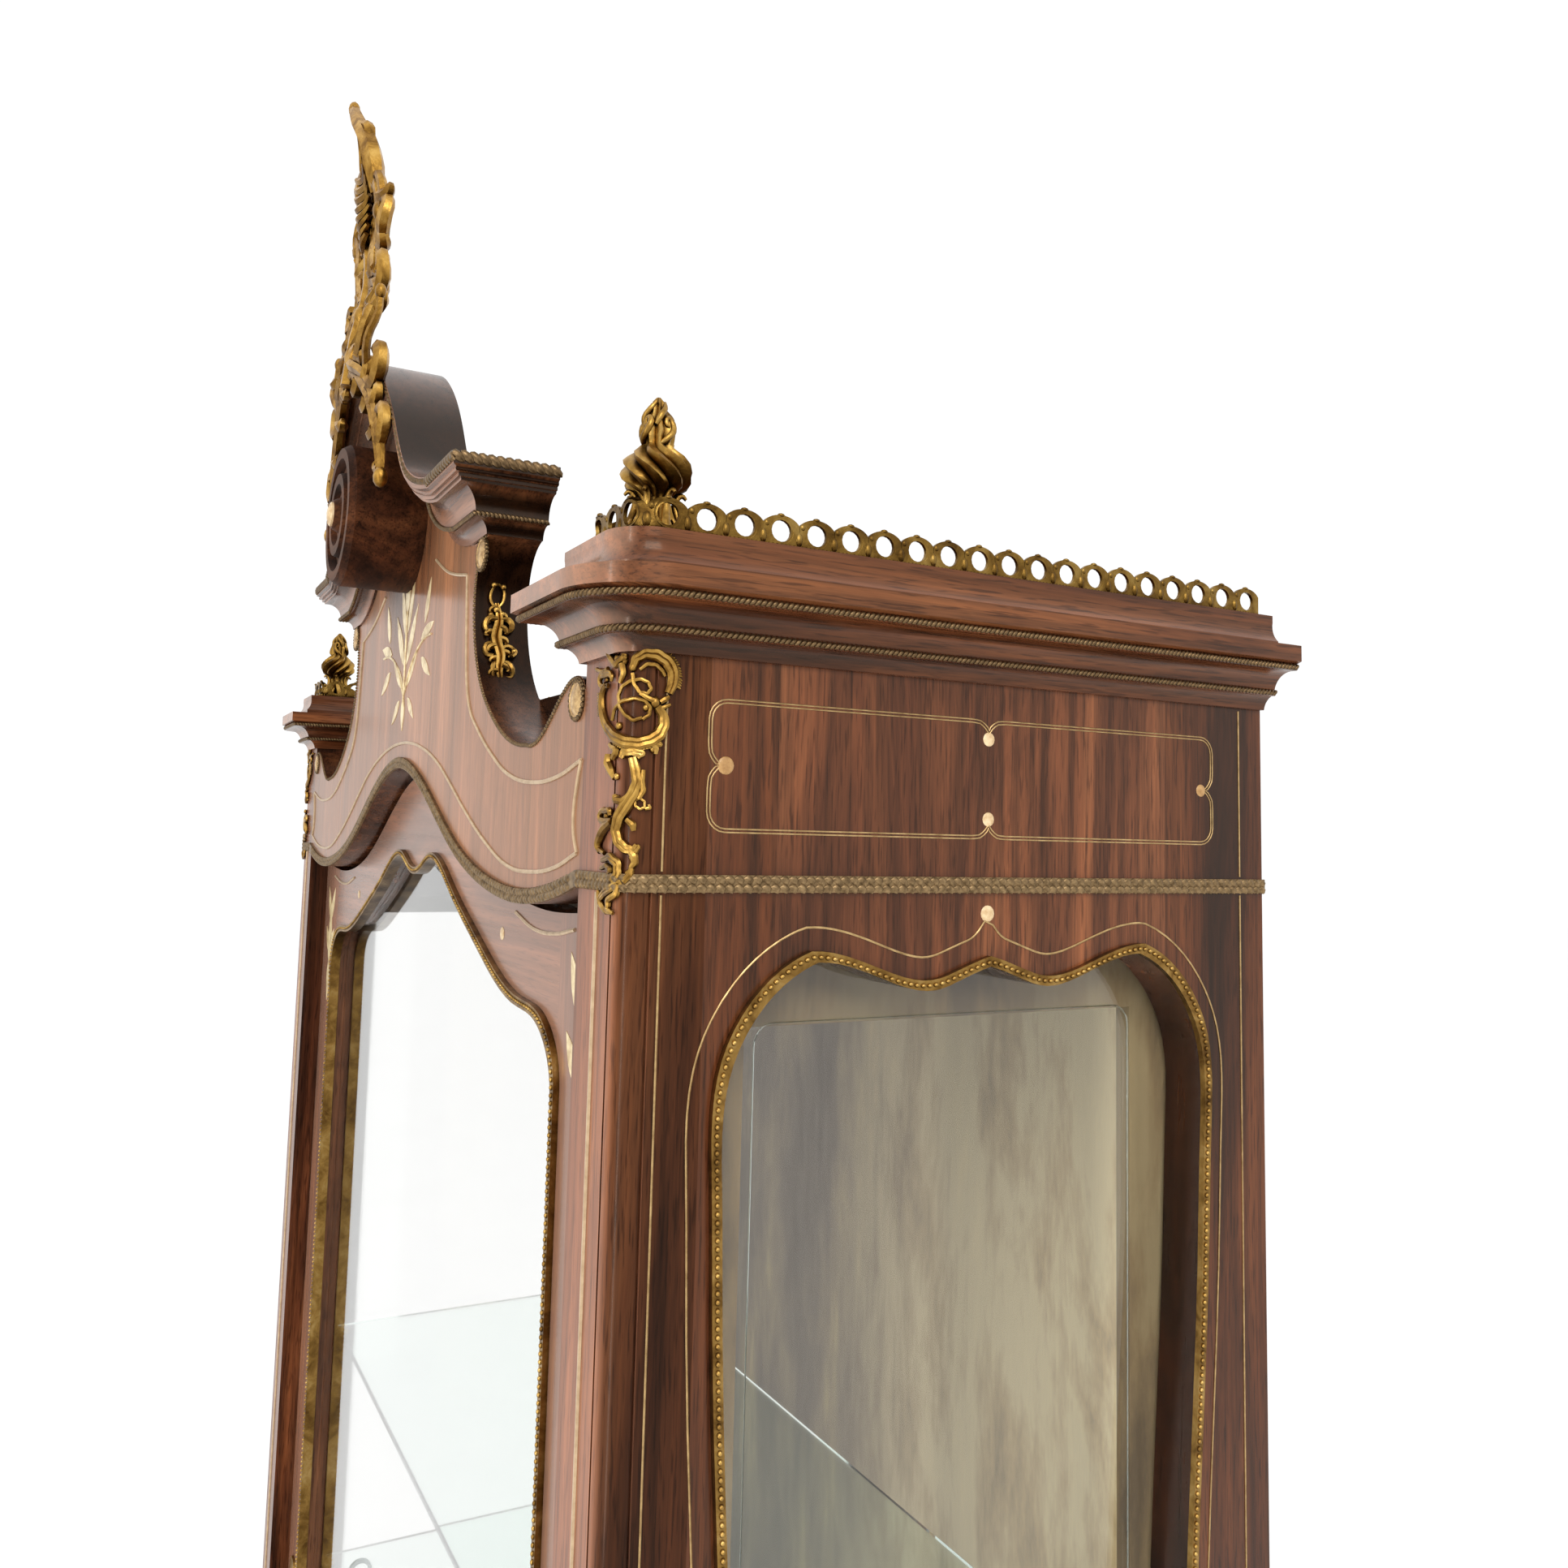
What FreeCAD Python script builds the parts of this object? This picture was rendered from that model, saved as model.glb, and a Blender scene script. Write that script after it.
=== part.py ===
# Glazed display cabinet: one wide glazed door between two corner posts, glazed sides,
# a shaped front board rising into a bonnet pediment, and a moulded cornice over each side.
# Millimetres. X runs to the viewer's right, Y to the back, Z up from the floor.
import FreeCAD, Part
import math
import os

os.makedirs("parts", exist_ok=True)
V = FreeCAD.Vector

# Whole cabinet
body_width = 1078.0
body_depth = 454.0
front_reach = 69.0
foot_height = 70.0
plinth_height = 60.0
carcass_height = 1592.0
frieze_height = 122.0
overrun = 6.0
part_gap = 0.3
bore_gap = 0.05

# Corner posts and side frames
post_width = 64.5
corner_radius = 14.0
quirk = 2.0
side_thickness = 30.0
window_margin = 58.3
rail_lap = 28.7
window_height = 1003.0
window_drop = 159.0
side_glass_thickness = 4.0
side_glass_margin = 5.0
glazing_strip_width = 40.0
glazing_rail_height = 73.0
glazing_strip_depth = 16.0

# Boards inside the carcass
board_thickness = 18.0
board_setback = 4.0
back_thickness = 12.0
lining_thickness = 2.0
floor_drop = 42.0

# Glass shelves on pins
shelf_thickness = 6.0
shelf_rise_shares = (0.2572, 0.5145)
shelf_setback = 21.0
shelf_side_gap = 1.0
pin_radius = 3.0
pin_hold = 9.0
pin_reach = 11.0
pin_inset = 12.0

# Door
door_recess = 20.0
door_thickness = 26.0
door_gap = 1.8
door_top_gap = 5.0
door_stile_width = 82.7
glass_margin = 74.7
glass_rebate = 10.0
glass_set = 12.0
door_glass_thickness = 4.0
glass_drop = 205.0
glass_foot_rise = 392.0
mid_rail_height = 100.0
bottom_rail_height = 84.0
panel_thickness = 14.0
panel_field_rise = 5.0
panel_bevel = 34.0
panel_set = 4.0

# Pivot hinges
pivot_inset = 11.0
pivot_depth = 6.0
pivot_radius = 3.5
collar_radius = 7.5
bush_radius = 7.5
bush_length = 16.0
pivot_hold = 14.0

# Lock, bolt and key
lock_rise = 655.0
lock_width = 52.0
lock_height = 76.0
lock_depth = 15.0
bolt_height = 18.0
bolt_depth = 6.0
bolt_length = 30.0
bolt_drop = 22.0
bolt_travel = 9.0
strike_thickness = 2.0
strike_height = 60.0
strike_width = 14.0
key_inset = 38.0
key_radius = 2.8
key_length = 52.0
key_bit_length = 9.0
key_bit_width = 7.0
key_bit_thickness = 2.2
key_bow_radius = 13.0
key_bow_thickness = 4.0
escutcheon_height = 74.0
escutcheon_width = 30.0
escutcheon_thickness = 2.5
escutcheon_drop = 6.0
keyhole_gap = 0.4
lock_wall = 1.5
key_collar_gap = 1.0
key_collar_length = 4.0
key_collar_rise = 2.2

# Front board, hood and pediment
front_board_thickness = 39.0
apron_rise = 96.5
apron_dip = 15.0
shoulder_half = 258.0
shoulder_rise = 116.0
valley_drop = 38.0
valley_inset = 106.3
hood_rise = 147.0
hood_height = 46.0
hood_overhang = 36.0
hood_bow = 18.0
hood_flat = 46.0
hood_section_count = 11
hood_arch_back = 8.5
boss_radius = 61.0
boss_rise = 176.0
boss_reach = 68.5
crest_half = 70.0
crest_height = 356.0
crest_thickness = 14.5
crest_foot_rise = 19.0
pendant_height = 84.0
pendant_width = 30.0
pendant_thickness = 12.0
pendant_rise = 68.0
disc_radius = 10.0
disc_thickness = 4.0
volute_disc_inset = 20.5
volute_disc_drop = 22.0
shoulder_disc_inset = 32.0
shoulder_disc_drop = 16.0

# Cornice, gallery and finial over each side
cornice_height = 40.0
cornice_overhang = 34.5
cap_height = 23.0
cap_overhang = 16.0
gallery_height = 19.0
gallery_thickness = 3.0
gallery_pitch = 22.4
gallery_hole = 7.2
finial_radius = 20.0
finial_height = 83.0
finial_inset = 24.0

# Gilt bands and corner mounts
band_height = 9.0
band_thickness = 2.5
moulding_width = 6.0
moulding_rise = 4.0
mount_height = 131.0
mount_thickness = 6.0
mount_drop = 10.0
mount_reach = 62.0

# Plinth and feet
plinth_overhang = 14.0
foot_width = 74.0
foot_inset = 4.0
sabot_height = 24.0

# Places worked out from the sizes above
half_width = body_width / 2
opening_half = half_width - post_width
back_y = (body_depth + front_reach) / 2
front_y = back_y - body_depth
mid_y = (front_y + back_y) / 2
base_z = foot_height + plinth_height
cornice_z = base_z + carcass_height
band_z = cornice_z - frieze_height
post_depth = door_recess + door_thickness
window_half = body_depth / 2 - window_margin
rail_half = window_half - rail_lap
window_foot_z = cornice_z - window_drop - window_height
post_back_y = front_y + post_depth
door_front_y = front_y + door_recess
door_half = opening_half - door_gap
door_stile_line = door_half - door_stile_width
glass_half = door_half - glass_margin
inner_half = half_width - side_thickness
lining_y = back_y - back_thickness - lining_thickness
floor_z = window_foot_z - floor_drop
glass_foot_z = base_z + glass_foot_rise
hood_z = cornice_z + shoulder_rise
valley_x = opening_half - valley_inset
apron_z = band_z - apron_dip
boss_z = cornice_z + boss_rise
crest_front_y = back_y - body_depth - front_reach
pivot_x = door_half - pivot_inset
pivot_y = door_front_y + pivot_depth
lock_z = base_z + lock_rise
key_x = key_inset - door_half
strip_half = inner_half - glazing_strip_depth
strip_top_z = cornice_z - window_drop + glazing_strip_width - side_glass_margin

# Half outlines, as shares of the width and height they follow
window_top_shares = ((0.0, 0.995), (0.11, 0.989), (0.225, 0.983), (0.45, 0.991), (0.682, 1.0))
window_side_shares = ((0.682, 1.0), (0.901, 0.972), (0.978, 0.947), (1.0, 0.887), (0.984, 0.81),
                      (0.934, 0.668), (0.889, 0.479), (0.919, 0.199), (0.948, 0.1), (0.889, 0.03),
                      (0.664, 0.0))
window_foot_shares = ((0.664, 0.0), (0.225, 0.017), (0.11, 0.011), (0.0, 0.006))
glass_top_shares = ((0.0, 1.079), (0.06, 1.083), (0.126, 1.092), (0.33, 1.069), (0.545, 1.034),
                    (0.8, 1.005), (0.915, 1.0), (0.982, 0.981), (1.0, 0.958))
glass_foot_shares = ((1.0, 0.042), (0.982, 0.02), (0.915, 0.003), (0.8, 0.0), (0.545, -0.018),
                     (0.2, -0.036), (0.08, -0.036), (0.0, -0.026))
apron_shares = ((0.0, 1.0), (0.148, 0.87), (0.295, 0.58), (0.464, 0.24), (0.633, 0.052),
                (0.781, 0.0), (0.886, 0.041), (1.0, 0.155))
door_top_shares = apron_shares[:-2] + ((0.886, 0.02), (1.0, 0.06))
volute_shares = ((1.0, -0.42), (0.955, -0.22), (0.848, -0.13), (0.643, -0.3), (0.33, -0.84), (0.0, -1.0))
flank_shares = ((1.0, -0.328), (0.587, -0.26), (0.29, -0.129), (-0.046, 0.121), (-0.227, 0.431),
                (-0.253, 0.716), (-0.188, 0.88), (0.0, 1.0))
hood_shares = ((1.0, 0.0), (0.82, 0.004), (0.68, 0.06), (0.54, 0.2), (0.42, 0.46), (0.32, 0.7),
               (0.2, 0.88), (0.1, 0.97), (0.0, 1.0))
cornice_shares = (((0.0, 0.0), (0.1, 0.0)), ((0.1, 0.0), (0.16, 0.13), (0.28, 0.22)),
                  ((0.28, 0.22), (0.36, 0.22)), ((0.36, 0.22), (0.4, 0.27), (0.36, 0.32)),
                  ((0.36, 0.32), (0.5, 0.52), (0.8, 0.6)), ((0.8, 0.6), (0.88, 0.6)),
                  ((0.88, 0.6), (0.92, 0.65), (0.88, 0.7)), ((0.88, 0.7), (1.0, 0.74)),
                  ((1.0, 0.74), (1.0, 1.0)))
hood_profile_shares = ((0.0, 0.0), (0.1, 0.02), (0.2, 0.14), (0.34, 0.2), (0.42, 0.26), (0.52, 0.5),
                       (0.8, 0.62), (0.9, 0.64), (0.9, 0.74), (1.0, 0.78), (1.0, 1.0))
cap_shares = (((1.0, 0.0), (1.0, 0.22)), ((1.0, 0.22), (0.8, 0.4), (0.72, 0.8)),
              ((0.72, 0.8), (0.72, 1.0)))
plinth_shares = (((0.7, 0.0), (1.0, 0.0)), ((1.0, 0.0), (1.0, 0.5)),
                 ((1.0, 0.5), (0.72, 0.62), (0.45, 0.84)), ((0.45, 0.84), (0.3, 0.9), (0.3, 1.0)))
crest_outer_shares = ((1.1, 0.0), (1.24, 0.05), (1.02, 0.16), (0.84, 0.27), (0.98, 0.37),
                      (1.0, 0.47), (0.76, 0.56), (0.62, 0.65), (0.72, 0.75), (0.52, 0.87),
                      (0.22, 0.95), (0.0, 1.0))
crest_inner_shares = ((0.0, 0.26), (0.3, 0.24), (0.62, 0.15), (0.88, 0.04), (1.1, 0.0))
crest_eye_shares = ((0.42, 0.34), (0.62, 0.42), (0.4, 0.5), (0.3, 0.42))
crest_tip_eye_shares = ((0.24, 0.64), (0.4, 0.72), (0.22, 0.84), (0.15, 0.72))
boss_shares = ((0.0, 0.0), (1.0, 0.0), (1.0, 0.86), (0.94, 0.94), (0.8, 0.94), (0.76, 0.84), (0.62, 0.84),
               (0.58, 0.95), (0.44, 0.95), (0.4, 0.88), (0.26, 0.9), (0.2, 1.0), (0.0, 1.0))
finial_shares = ((0.0, 0.0), (0.78, 0.0), (0.7, 0.1), (0.5, 0.22), (0.42, 0.31), (0.7, 0.37), (0.95, 0.43),
                 (1.0, 0.5), (0.93, 0.56), (0.66, 0.63), (0.46, 0.67), (0.55, 0.75), (0.42, 0.84),
                 (0.22, 0.9), (0.14, 0.96), (0.06, 1.0), (0.0, 1.0))
mount_front_shares = ((0.06, 1.0), (0.0, 0.82), (0.26, 0.66), (0.1, 0.5), (0.34, 0.36), (0.52, 0.2),
                      (0.7, 0.06), (1.1, 0.0))
mount_side_shares = ((0.0, 0.0), (0.3, 0.1), (0.42, 0.28), (0.3, 0.4), (0.52, 0.56), (0.36, 0.68),
                     (0.78, 0.84), (1.0, 1.0))
foot_level_shares = ((1.0, 1.0), (1.0, 0.86), (0.94, 0.7), (0.78, 0.45), (0.62, 0.2), (0.5, 0.0))
rear_foot_shares = ((1.0, 1.0), (1.0, 0.9), (0.94, 0.8), (0.78, 0.64), (0.6, 0.42), (0.54, 0.2), (0.6, 0.0))
escutcheon_shares = ((0.0, 0.5), (0.3, 0.47), (0.42, 0.36), (0.36, 0.24), (0.5, 0.1), (0.46, -0.1),
                     (0.34, -0.24), (0.4, -0.36), (0.2, -0.47), (0.0, -0.5))
pendant_shares = ((0.0, 0.5), (0.3, 0.44), (0.44, 0.3), (0.34, 0.16), (0.5, 0.02), (0.3, -0.2),
                  (0.12, -0.4), (0.0, -0.5))
sabot_level_shares = ((0.5, 1.0), (0.62, 0.6), (0.78, 0.3), (0.82, 0.0))


def export(name, solids):
    shape = solids[0] if len(solids) == 1 else Part.makeCompound(solids)
    shape.exportStep("parts/" + name + ".step")


def mirrored(shape):
    return shape.mirror(V(0, 0, 0), V(1, 0, 0))


def export_pair(name, solid):
    export(name + "_right", [solid])
    export(name + "_left", [mirrored(solid)])


def block(x0, x1, y0, y1, z0, z1):
    return Part.makeBox(x1 - x0, y1 - y0, z1 - z0, V(x0, y0, z0))


def run_edge(points):
    # Two points give a line, three an arc, more a smooth curve.
    if len(points) == 2:
        return Part.makeLine(points[0], points[1])
    if len(points) == 3:
        return Part.Arc(points[0], points[1], points[2]).toShape()
    curve = Part.BSplineCurve()
    curve.interpolate(points)
    return curve.toShape()


def outline_face(runs):
    return Part.Face(Part.Wire([run_edge(run) for run in runs]))


def closed_runs(half_runs, place):
    # A half outline from the middle, and its mirror image back to the start.
    there = [[place(u, v) for u, v in run] for run in half_runs]
    back = [[place(-u, v) for u, v in reversed(run)] for run in reversed(half_runs)]
    return there + back


def moulded_block(x0, x1, y0, y1, z0, shares, overhang, height):
    # A block moulded on its front and both ends, and flush at its back.
    runs = [[(u * overhang, z0 + v * height) for u, v in run] for run in shares]
    low, high = runs[0][0], runs[-1][-1]
    ends = [[V(x1 + u, 0, z) for u, z in run] for run in runs]
    ends += [[V(x1 + high[0], 0, high[1]), V(x0 - high[0], 0, high[1])]]
    ends += [[V(x0 - u, 0, z) for u, z in reversed(run)] for run in reversed(runs)]
    ends += [[V(x0 - low[0], 0, low[1]), V(x1 + low[0], 0, low[1])]]
    fronts = [[V(0, y0 - u, z) for u, z in run] for run in runs]
    fronts += [[V(0, y0 - high[0], high[1]), V(0, y1, high[1])]]
    fronts += [[V(0, y1, high[1]), V(0, y1, low[1])]]
    fronts += [[V(0, y1, low[1]), V(0, y0 - low[0], low[1])]]
    along_y = outline_face(ends).extrude(V(0, y1 - y0 + overhang, 0))
    along_y.translate(V(0, y0 - overhang, 0))
    along_x = outline_face(fronts).extrude(V(x1 - x0 + overhang + overhang, 0, 0))
    along_x.translate(V(x0 - overhang, 0, 0))
    return along_y.common(along_x)


def rounded_block(x0, x1, y0, y1, z0, shares, overhang, height, both):
    # A moulded block whose front right corner, or both front corners, follow the corner column.
    solid = moulded_block(x0, x1, y0, y1, z0, shares, overhang, height)
    centre = V(x1 - corner_radius, y0 + corner_radius, z0)
    reach = corner_radius + overhang + overrun
    runs = [[V(x1 + u * overhang, centre.y, z0 + v * height) for u, v in run] for run in shares]
    low, high = runs[0][0], runs[-1][-1]
    foot, top = V(centre.x, centre.y, low.z), V(centre.x, centre.y, high.z)
    face = outline_face(runs + [[high, top], [top, foot], [foot, low]])
    corner = face.revolve(centre, V(0, 0, 1), -90)
    square = block(centre.x, centre.x + reach, centre.y - reach, centre.y, z0 - overrun,
                   z0 + height + overrun)
    solid = solid.cut(square).fuse(corner)
    if both:
        solid = solid.cut(mirrored(square)).fuse(mirrored(corner))
    return solid.removeSplitter()


def corner_strip(thickness, z0, height, x_start, y_end):
    # A strip that lies on the front and side of the right corner post and round its corner.
    inner_x, inner_y = half_width - corner_radius, front_y + corner_radius
    turn = math.sqrt(0.5)
    outer_r = corner_radius + thickness
    runs = [[V(x_start, front_y, z0), V(inner_x, front_y, z0)],
            [V(inner_x, front_y, z0),
             V(inner_x + corner_radius * turn, inner_y - corner_radius * turn, z0),
             V(half_width, inner_y, z0)],
            [V(half_width, inner_y, z0), V(half_width, y_end, z0)],
            [V(half_width, y_end, z0), V(half_width + thickness, y_end, z0)],
            [V(half_width + thickness, y_end, z0), V(half_width + thickness, inner_y, z0)],
            [V(half_width + thickness, inner_y, z0),
             V(inner_x + outer_r * turn, inner_y - outer_r * turn, z0),
             V(inner_x, front_y - thickness, z0)],
            [V(inner_x, front_y - thickness, z0), V(x_start, front_y - thickness, z0)],
            [V(x_start, front_y - thickness, z0), V(x_start, front_y, z0)]]
    return outline_face(runs).extrude(V(0, 0, height))


def front_post():
    r, q = corner_radius, quirk
    x, y = half_width, front_y
    turn = math.sqrt(0.5)
    corner = [V(x - r, y, base_z), V(x - r + r * turn, y + r - r * turn, base_z), V(x, y + r, base_z)]
    points = [V(x, y + r, base_z), V(x - q, y + r, base_z), V(x - q, y + r + q, base_z),
              V(x, y + r + q, base_z), V(x, post_back_y, base_z), V(opening_half, post_back_y, base_z),
              V(opening_half, y, base_z), V(x - r - q, y, base_z), V(x - r - q, y + q, base_z),
              V(x - r, y + q, base_z), V(x - r, y, base_z)]
    runs = [corner] + [[points[i], points[i + 1]] for i in range(len(points) - 1)]
    return outline_face(runs).extrude(V(0, 0, carcass_height))


def window_runs(place, grow):
    shares = (window_top_shares, window_side_shares, window_foot_shares)
    halves = []
    for run in shares:
        halves.append([(u * (window_half + grow), window_foot_z - grow + v * (window_height + grow + grow))
                       for u, v in run])
    return closed_runs(halves, place)


def side_pieces():
    # Front stile, rear stile, top rail and lower panel round the shaped window.
    slab = block(inner_half, half_width, post_back_y, back_y, base_z, cornice_z)
    window = outline_face(window_runs(lambda u, v: V(inner_half - overrun, mid_y + u, v), 0))
    slab = slab.cut(window.extrude(V(side_thickness + overrun + overrun, 0, 0)))
    x0, x1 = inner_half, half_width
    split_z = window_foot_z + window_height / 2
    regions = {
        "side_front_stile": block(x0, x1, post_back_y, mid_y - rail_half, base_z, cornice_z),
        "side_rear_stile": block(x0, x1, mid_y + rail_half, back_y, base_z, cornice_z),
        "side_top_rail": block(x0, x1, mid_y - rail_half, mid_y + rail_half, split_z, cornice_z),
        "side_lower_panel": block(x0, x1, mid_y - rail_half, mid_y + rail_half, base_z, split_z)}
    return {name: slab.common(region) for name, region in regions.items()}


def window_moulding():
    # Gilt moulding that lies on the side frame round the window.
    outer = outline_face(window_runs(lambda u, v: V(half_width, mid_y + u, v), moulding_width))
    inner = outline_face(window_runs(lambda u, v: V(half_width, mid_y + u, v), 0))
    return outer.cut(inner).Faces[0].extrude(V(moulding_rise, 0, 0))


def side_glass():
    margin = window_half + side_glass_margin
    foot = window_foot_z - side_glass_margin
    top = window_foot_z + window_height + side_glass_margin
    x1 = inner_half
    return block(x1 - side_glass_thickness, x1, mid_y - margin, mid_y + margin, foot, top)


def pin_places():
    for share in shelf_rise_shares:
        for y in (mid_y - rail_half - pin_inset, mid_y + rail_half + pin_inset):
            yield y, floor_z + share * window_height


def shelf_pins():
    pins = []
    for y, z in pin_places():
        start = V(strip_half - pin_reach, y, z - pin_radius)
        pin = Part.makeCylinder(pin_radius, pin_hold + pin_reach, start, V(1, 0, 0))
        pins += [pin, mirrored(pin)]
    return pins


def glazing_strips():
    # Four rebated strips that hold each side glass against its frame.
    glass = side_glass()
    edge = window_half + side_glass_margin + part_gap
    seat = block(inner_half - side_glass_thickness - part_gap, inner_half + overrun, mid_y - edge,
                 mid_y + edge, glass.BoundBox.ZMin - part_gap, glass.BoundBox.ZMax + part_gap)
    x0, x1 = strip_half, inner_half
    outer = rail_half + glazing_strip_width
    foot = floor_z
    low_top = foot + glazing_rail_height
    high_foot = strip_top_z - glazing_rail_height
    strips = [block(x0, x1, mid_y - outer + part_gap, mid_y - rail_half, foot, strip_top_z),
              block(x0, x1, mid_y + rail_half, mid_y + outer, foot, strip_top_z),
              block(x0, x1, mid_y - rail_half, mid_y + rail_half, foot, low_top),
              block(x0, x1, mid_y - rail_half, mid_y + rail_half, high_foot, strip_top_z)]
    solids = []
    for strip in strips:
        cut = strip.cut(seat)
        for y, z in pin_places():
            hole = Part.makeCylinder(pin_radius + bore_gap, pin_hold + overrun,
                                     V(x0 - overrun, y, z - pin_radius), V(1, 0, 0))
            cut = cut.cut(hole)
        solids += [cut, mirrored(cut)]
    return solids


def shelf(z):
    half = strip_half - shelf_side_gap
    plate = block(-half, half, post_back_y + shelf_setback, lining_y - shelf_side_gap, z,
                  z + shelf_thickness)
    front = [edge for edge in plate.Edges if edge.BoundBox.YMax < post_back_y + shelf_setback + part_gap]
    return plate.makeChamfer(shelf_thickness / 5, [e for e in front if e.BoundBox.XLength > half])


def arch_points(shares, half, drop):
    return [(u * half, apron_z + v * apron_rise - drop) for u, v in shares]


def flank_points():
    # The flank runs from the valley's lowest point, in under the hood and out to its shoulder.
    span = valley_x - shoulder_half
    points = [(shoulder_half + u * span, cornice_z + v * shoulder_rise) for u, v in flank_shares]
    return [(valley_x, cornice_z - valley_drop)] + points[1:]


def front_board():
    # One thick board: arched apron below, volutes, valleys and flanks, and the bell of the hood.
    volute = [(valley_x + u * valley_inset, cornice_z + v * valley_drop) for u, v in volute_shares]
    flank = flank_points()
    hood = [(u * shoulder_half, hood_z + v * hood_rise) for u, v in hood_shares]
    apron = arch_points(apron_shares, opening_half, 0)
    edge = [apron[-1], volute[0]]
    runs = closed_runs([apron, edge, volute, flank, hood], lambda u, v: V(u, front_y, v))
    return outline_face(runs).extrude(V(0, front_board_thickness, 0)).cut(arch_hollow())


def arch_hollow():
    # The hood's arch is shallower than its flat ends: this much is taken away behind it.
    return block(-shoulder_half, shoulder_half, front_y + hood_arch_back,
                 front_y + front_board_thickness + overrun, hood_z + hood_height,
                 hood_z + hood_rise + hood_height + overrun)


def hood_section(x, z, tilt, bow):
    # The moulding's section, set square to the hood's curve.
    reach = hood_overhang + bow
    points = [(u * reach, v * hood_height) for u, v in hood_profile_shares]
    points += [(-front_board_thickness, hood_height), (-front_board_thickness, 0)]
    up_x, up_z = -math.sin(tilt), math.cos(tilt)
    ring = [V(x + up_x * h, front_y - o, z + up_z * h) for o, h in points]
    return Part.makePolygon(ring + [ring[0]])


def hood():
    curve = Part.BSplineCurve()
    curve.interpolate([V(u * shoulder_half, 0, hood_z + v * hood_rise) for u, v in hood_shares])
    last = curve.LastParameter
    flat_x = shoulder_half - hood_flat
    start = curve.parameter(V(flat_x, 0, hood_z))
    sections = [hood_section(flat_x, hood_z, 0, 0)]
    for i in range(1, hood_section_count):
        share = i / (hood_section_count - 1)
        at = start + (last - start) * share
        point = curve.value(at)
        way = curve.tangent(at)[0]
        tilt = 0 if share == 1 else math.atan2(-way.z, -way.x)
        sections.append(hood_section(point.x, point.z, tilt, hood_bow * (1 - point.x / flat_x)))
    right = Part.makeLoft(sections, True, False)
    runs = [[a, b] for a, b in zip(hood_profile_shares[:-1], hood_profile_shares[1:])]
    end_front_y = front_y + front_board_thickness
    end = moulded_block(-shoulder_half, shoulder_half, front_y, end_front_y, hood_z, runs,
                        hood_overhang, hood_height)
    reach = shoulder_half + hood_overhang + overrun
    keep = block(flat_x, reach, front_y - hood_overhang - overrun, end_front_y + overrun,
                 hood_z - overrun, hood_z + hood_height + overrun)
    end = end.common(keep)
    whole = right.fuse([mirrored(right), end, mirrored(end)]).removeSplitter()
    return whole.cut(arch_hollow())


def boss():
    # Turned drum with stepped rings on its face.
    points = [V(u * boss_radius, front_y - v * boss_reach, boss_z) for u, v in boss_shares]
    face = Part.Face(Part.makePolygon(points + [points[0]]))
    return face.revolve(V(0, 0, boss_z), V(0, 1, 0), 360)


def crest():
    # Pierced leaf crest that stands against the front of the hood.
    foot = boss_z + crest_foot_rise
    outer = [(u * crest_half, foot + v * crest_height) for u, v in crest_outer_shares]
    inner = [(u * crest_half, foot + v * crest_height) for u, v in crest_inner_shares]
    face = outline_face(closed_runs([inner, outer], lambda u, v: V(u, crest_front_y, v)))
    solid = face.extrude(V(0, crest_thickness, 0))
    for eye in (crest_eye_shares, crest_tip_eye_shares):
        for side in (1, -1):
            ring = [V(side * u * crest_half, crest_front_y - overrun, foot + v * crest_height)
                    for u, v in eye]
            curve = Part.BSplineCurve()
            curve.interpolate(ring, PeriodicFlag=True)
            hole = Part.Face(Part.Wire([curve.toShape()]))
            solid = solid.cut(hole.extrude(V(0, crest_thickness + overrun + overrun, 0)))
    return solid


def pediment_trim(board):
    # A leaf pendant on each flank, and a disc on each volute and shoulder.
    flank_x = min(x for x, z in flank_points())
    middle_y = front_y + front_board_thickness / 2
    middle_z = cornice_z + pendant_rise
    leaf = [(u * pendant_width, middle_z + v * pendant_height) for u, v in pendant_shares]
    face = outline_face(closed_runs([leaf], lambda u, v: V(flank_x - overrun, middle_y + u, v)))
    solids = [face.extrude(V(pendant_thickness + overrun, 0, 0)).cut(board)]
    rim = disc_radius - disc_thickness / 2
    for x, z in ((opening_half - volute_disc_inset, cornice_z - volute_disc_drop),
                 (shoulder_half - shoulder_disc_inset, hood_z - shoulder_disc_drop)):
        solids.append(Part.makeCone(disc_radius, rim, disc_thickness, V(x, front_y, z), V(0, -1, 0)))
    return solids + [mirrored(solid) for solid in solids]


def side_cornice():
    # Cornice and stepped cap over one side, moulded on the front and on both long faces.
    cornice = rounded_block(opening_half, half_width, front_y, back_y, cornice_z, cornice_shares,
                            cornice_overhang, cornice_height, False)
    cap = rounded_block(opening_half, half_width, front_y, back_y, cornice_z + cornice_height,
                        cap_shares, cap_overhang, cap_height, False)
    return cornice.fuse(cap).removeSplitter()


def hexagon_face(centre, across, up, radius):
    corners = []
    for i in range(6):
        turn = math.pi * i / 3
        corners.append(centre + across * (radius * math.cos(turn)) + up * (radius * math.sin(turn)))
    return Part.Face(Part.makePolygon(corners + [corners[0]]))


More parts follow.
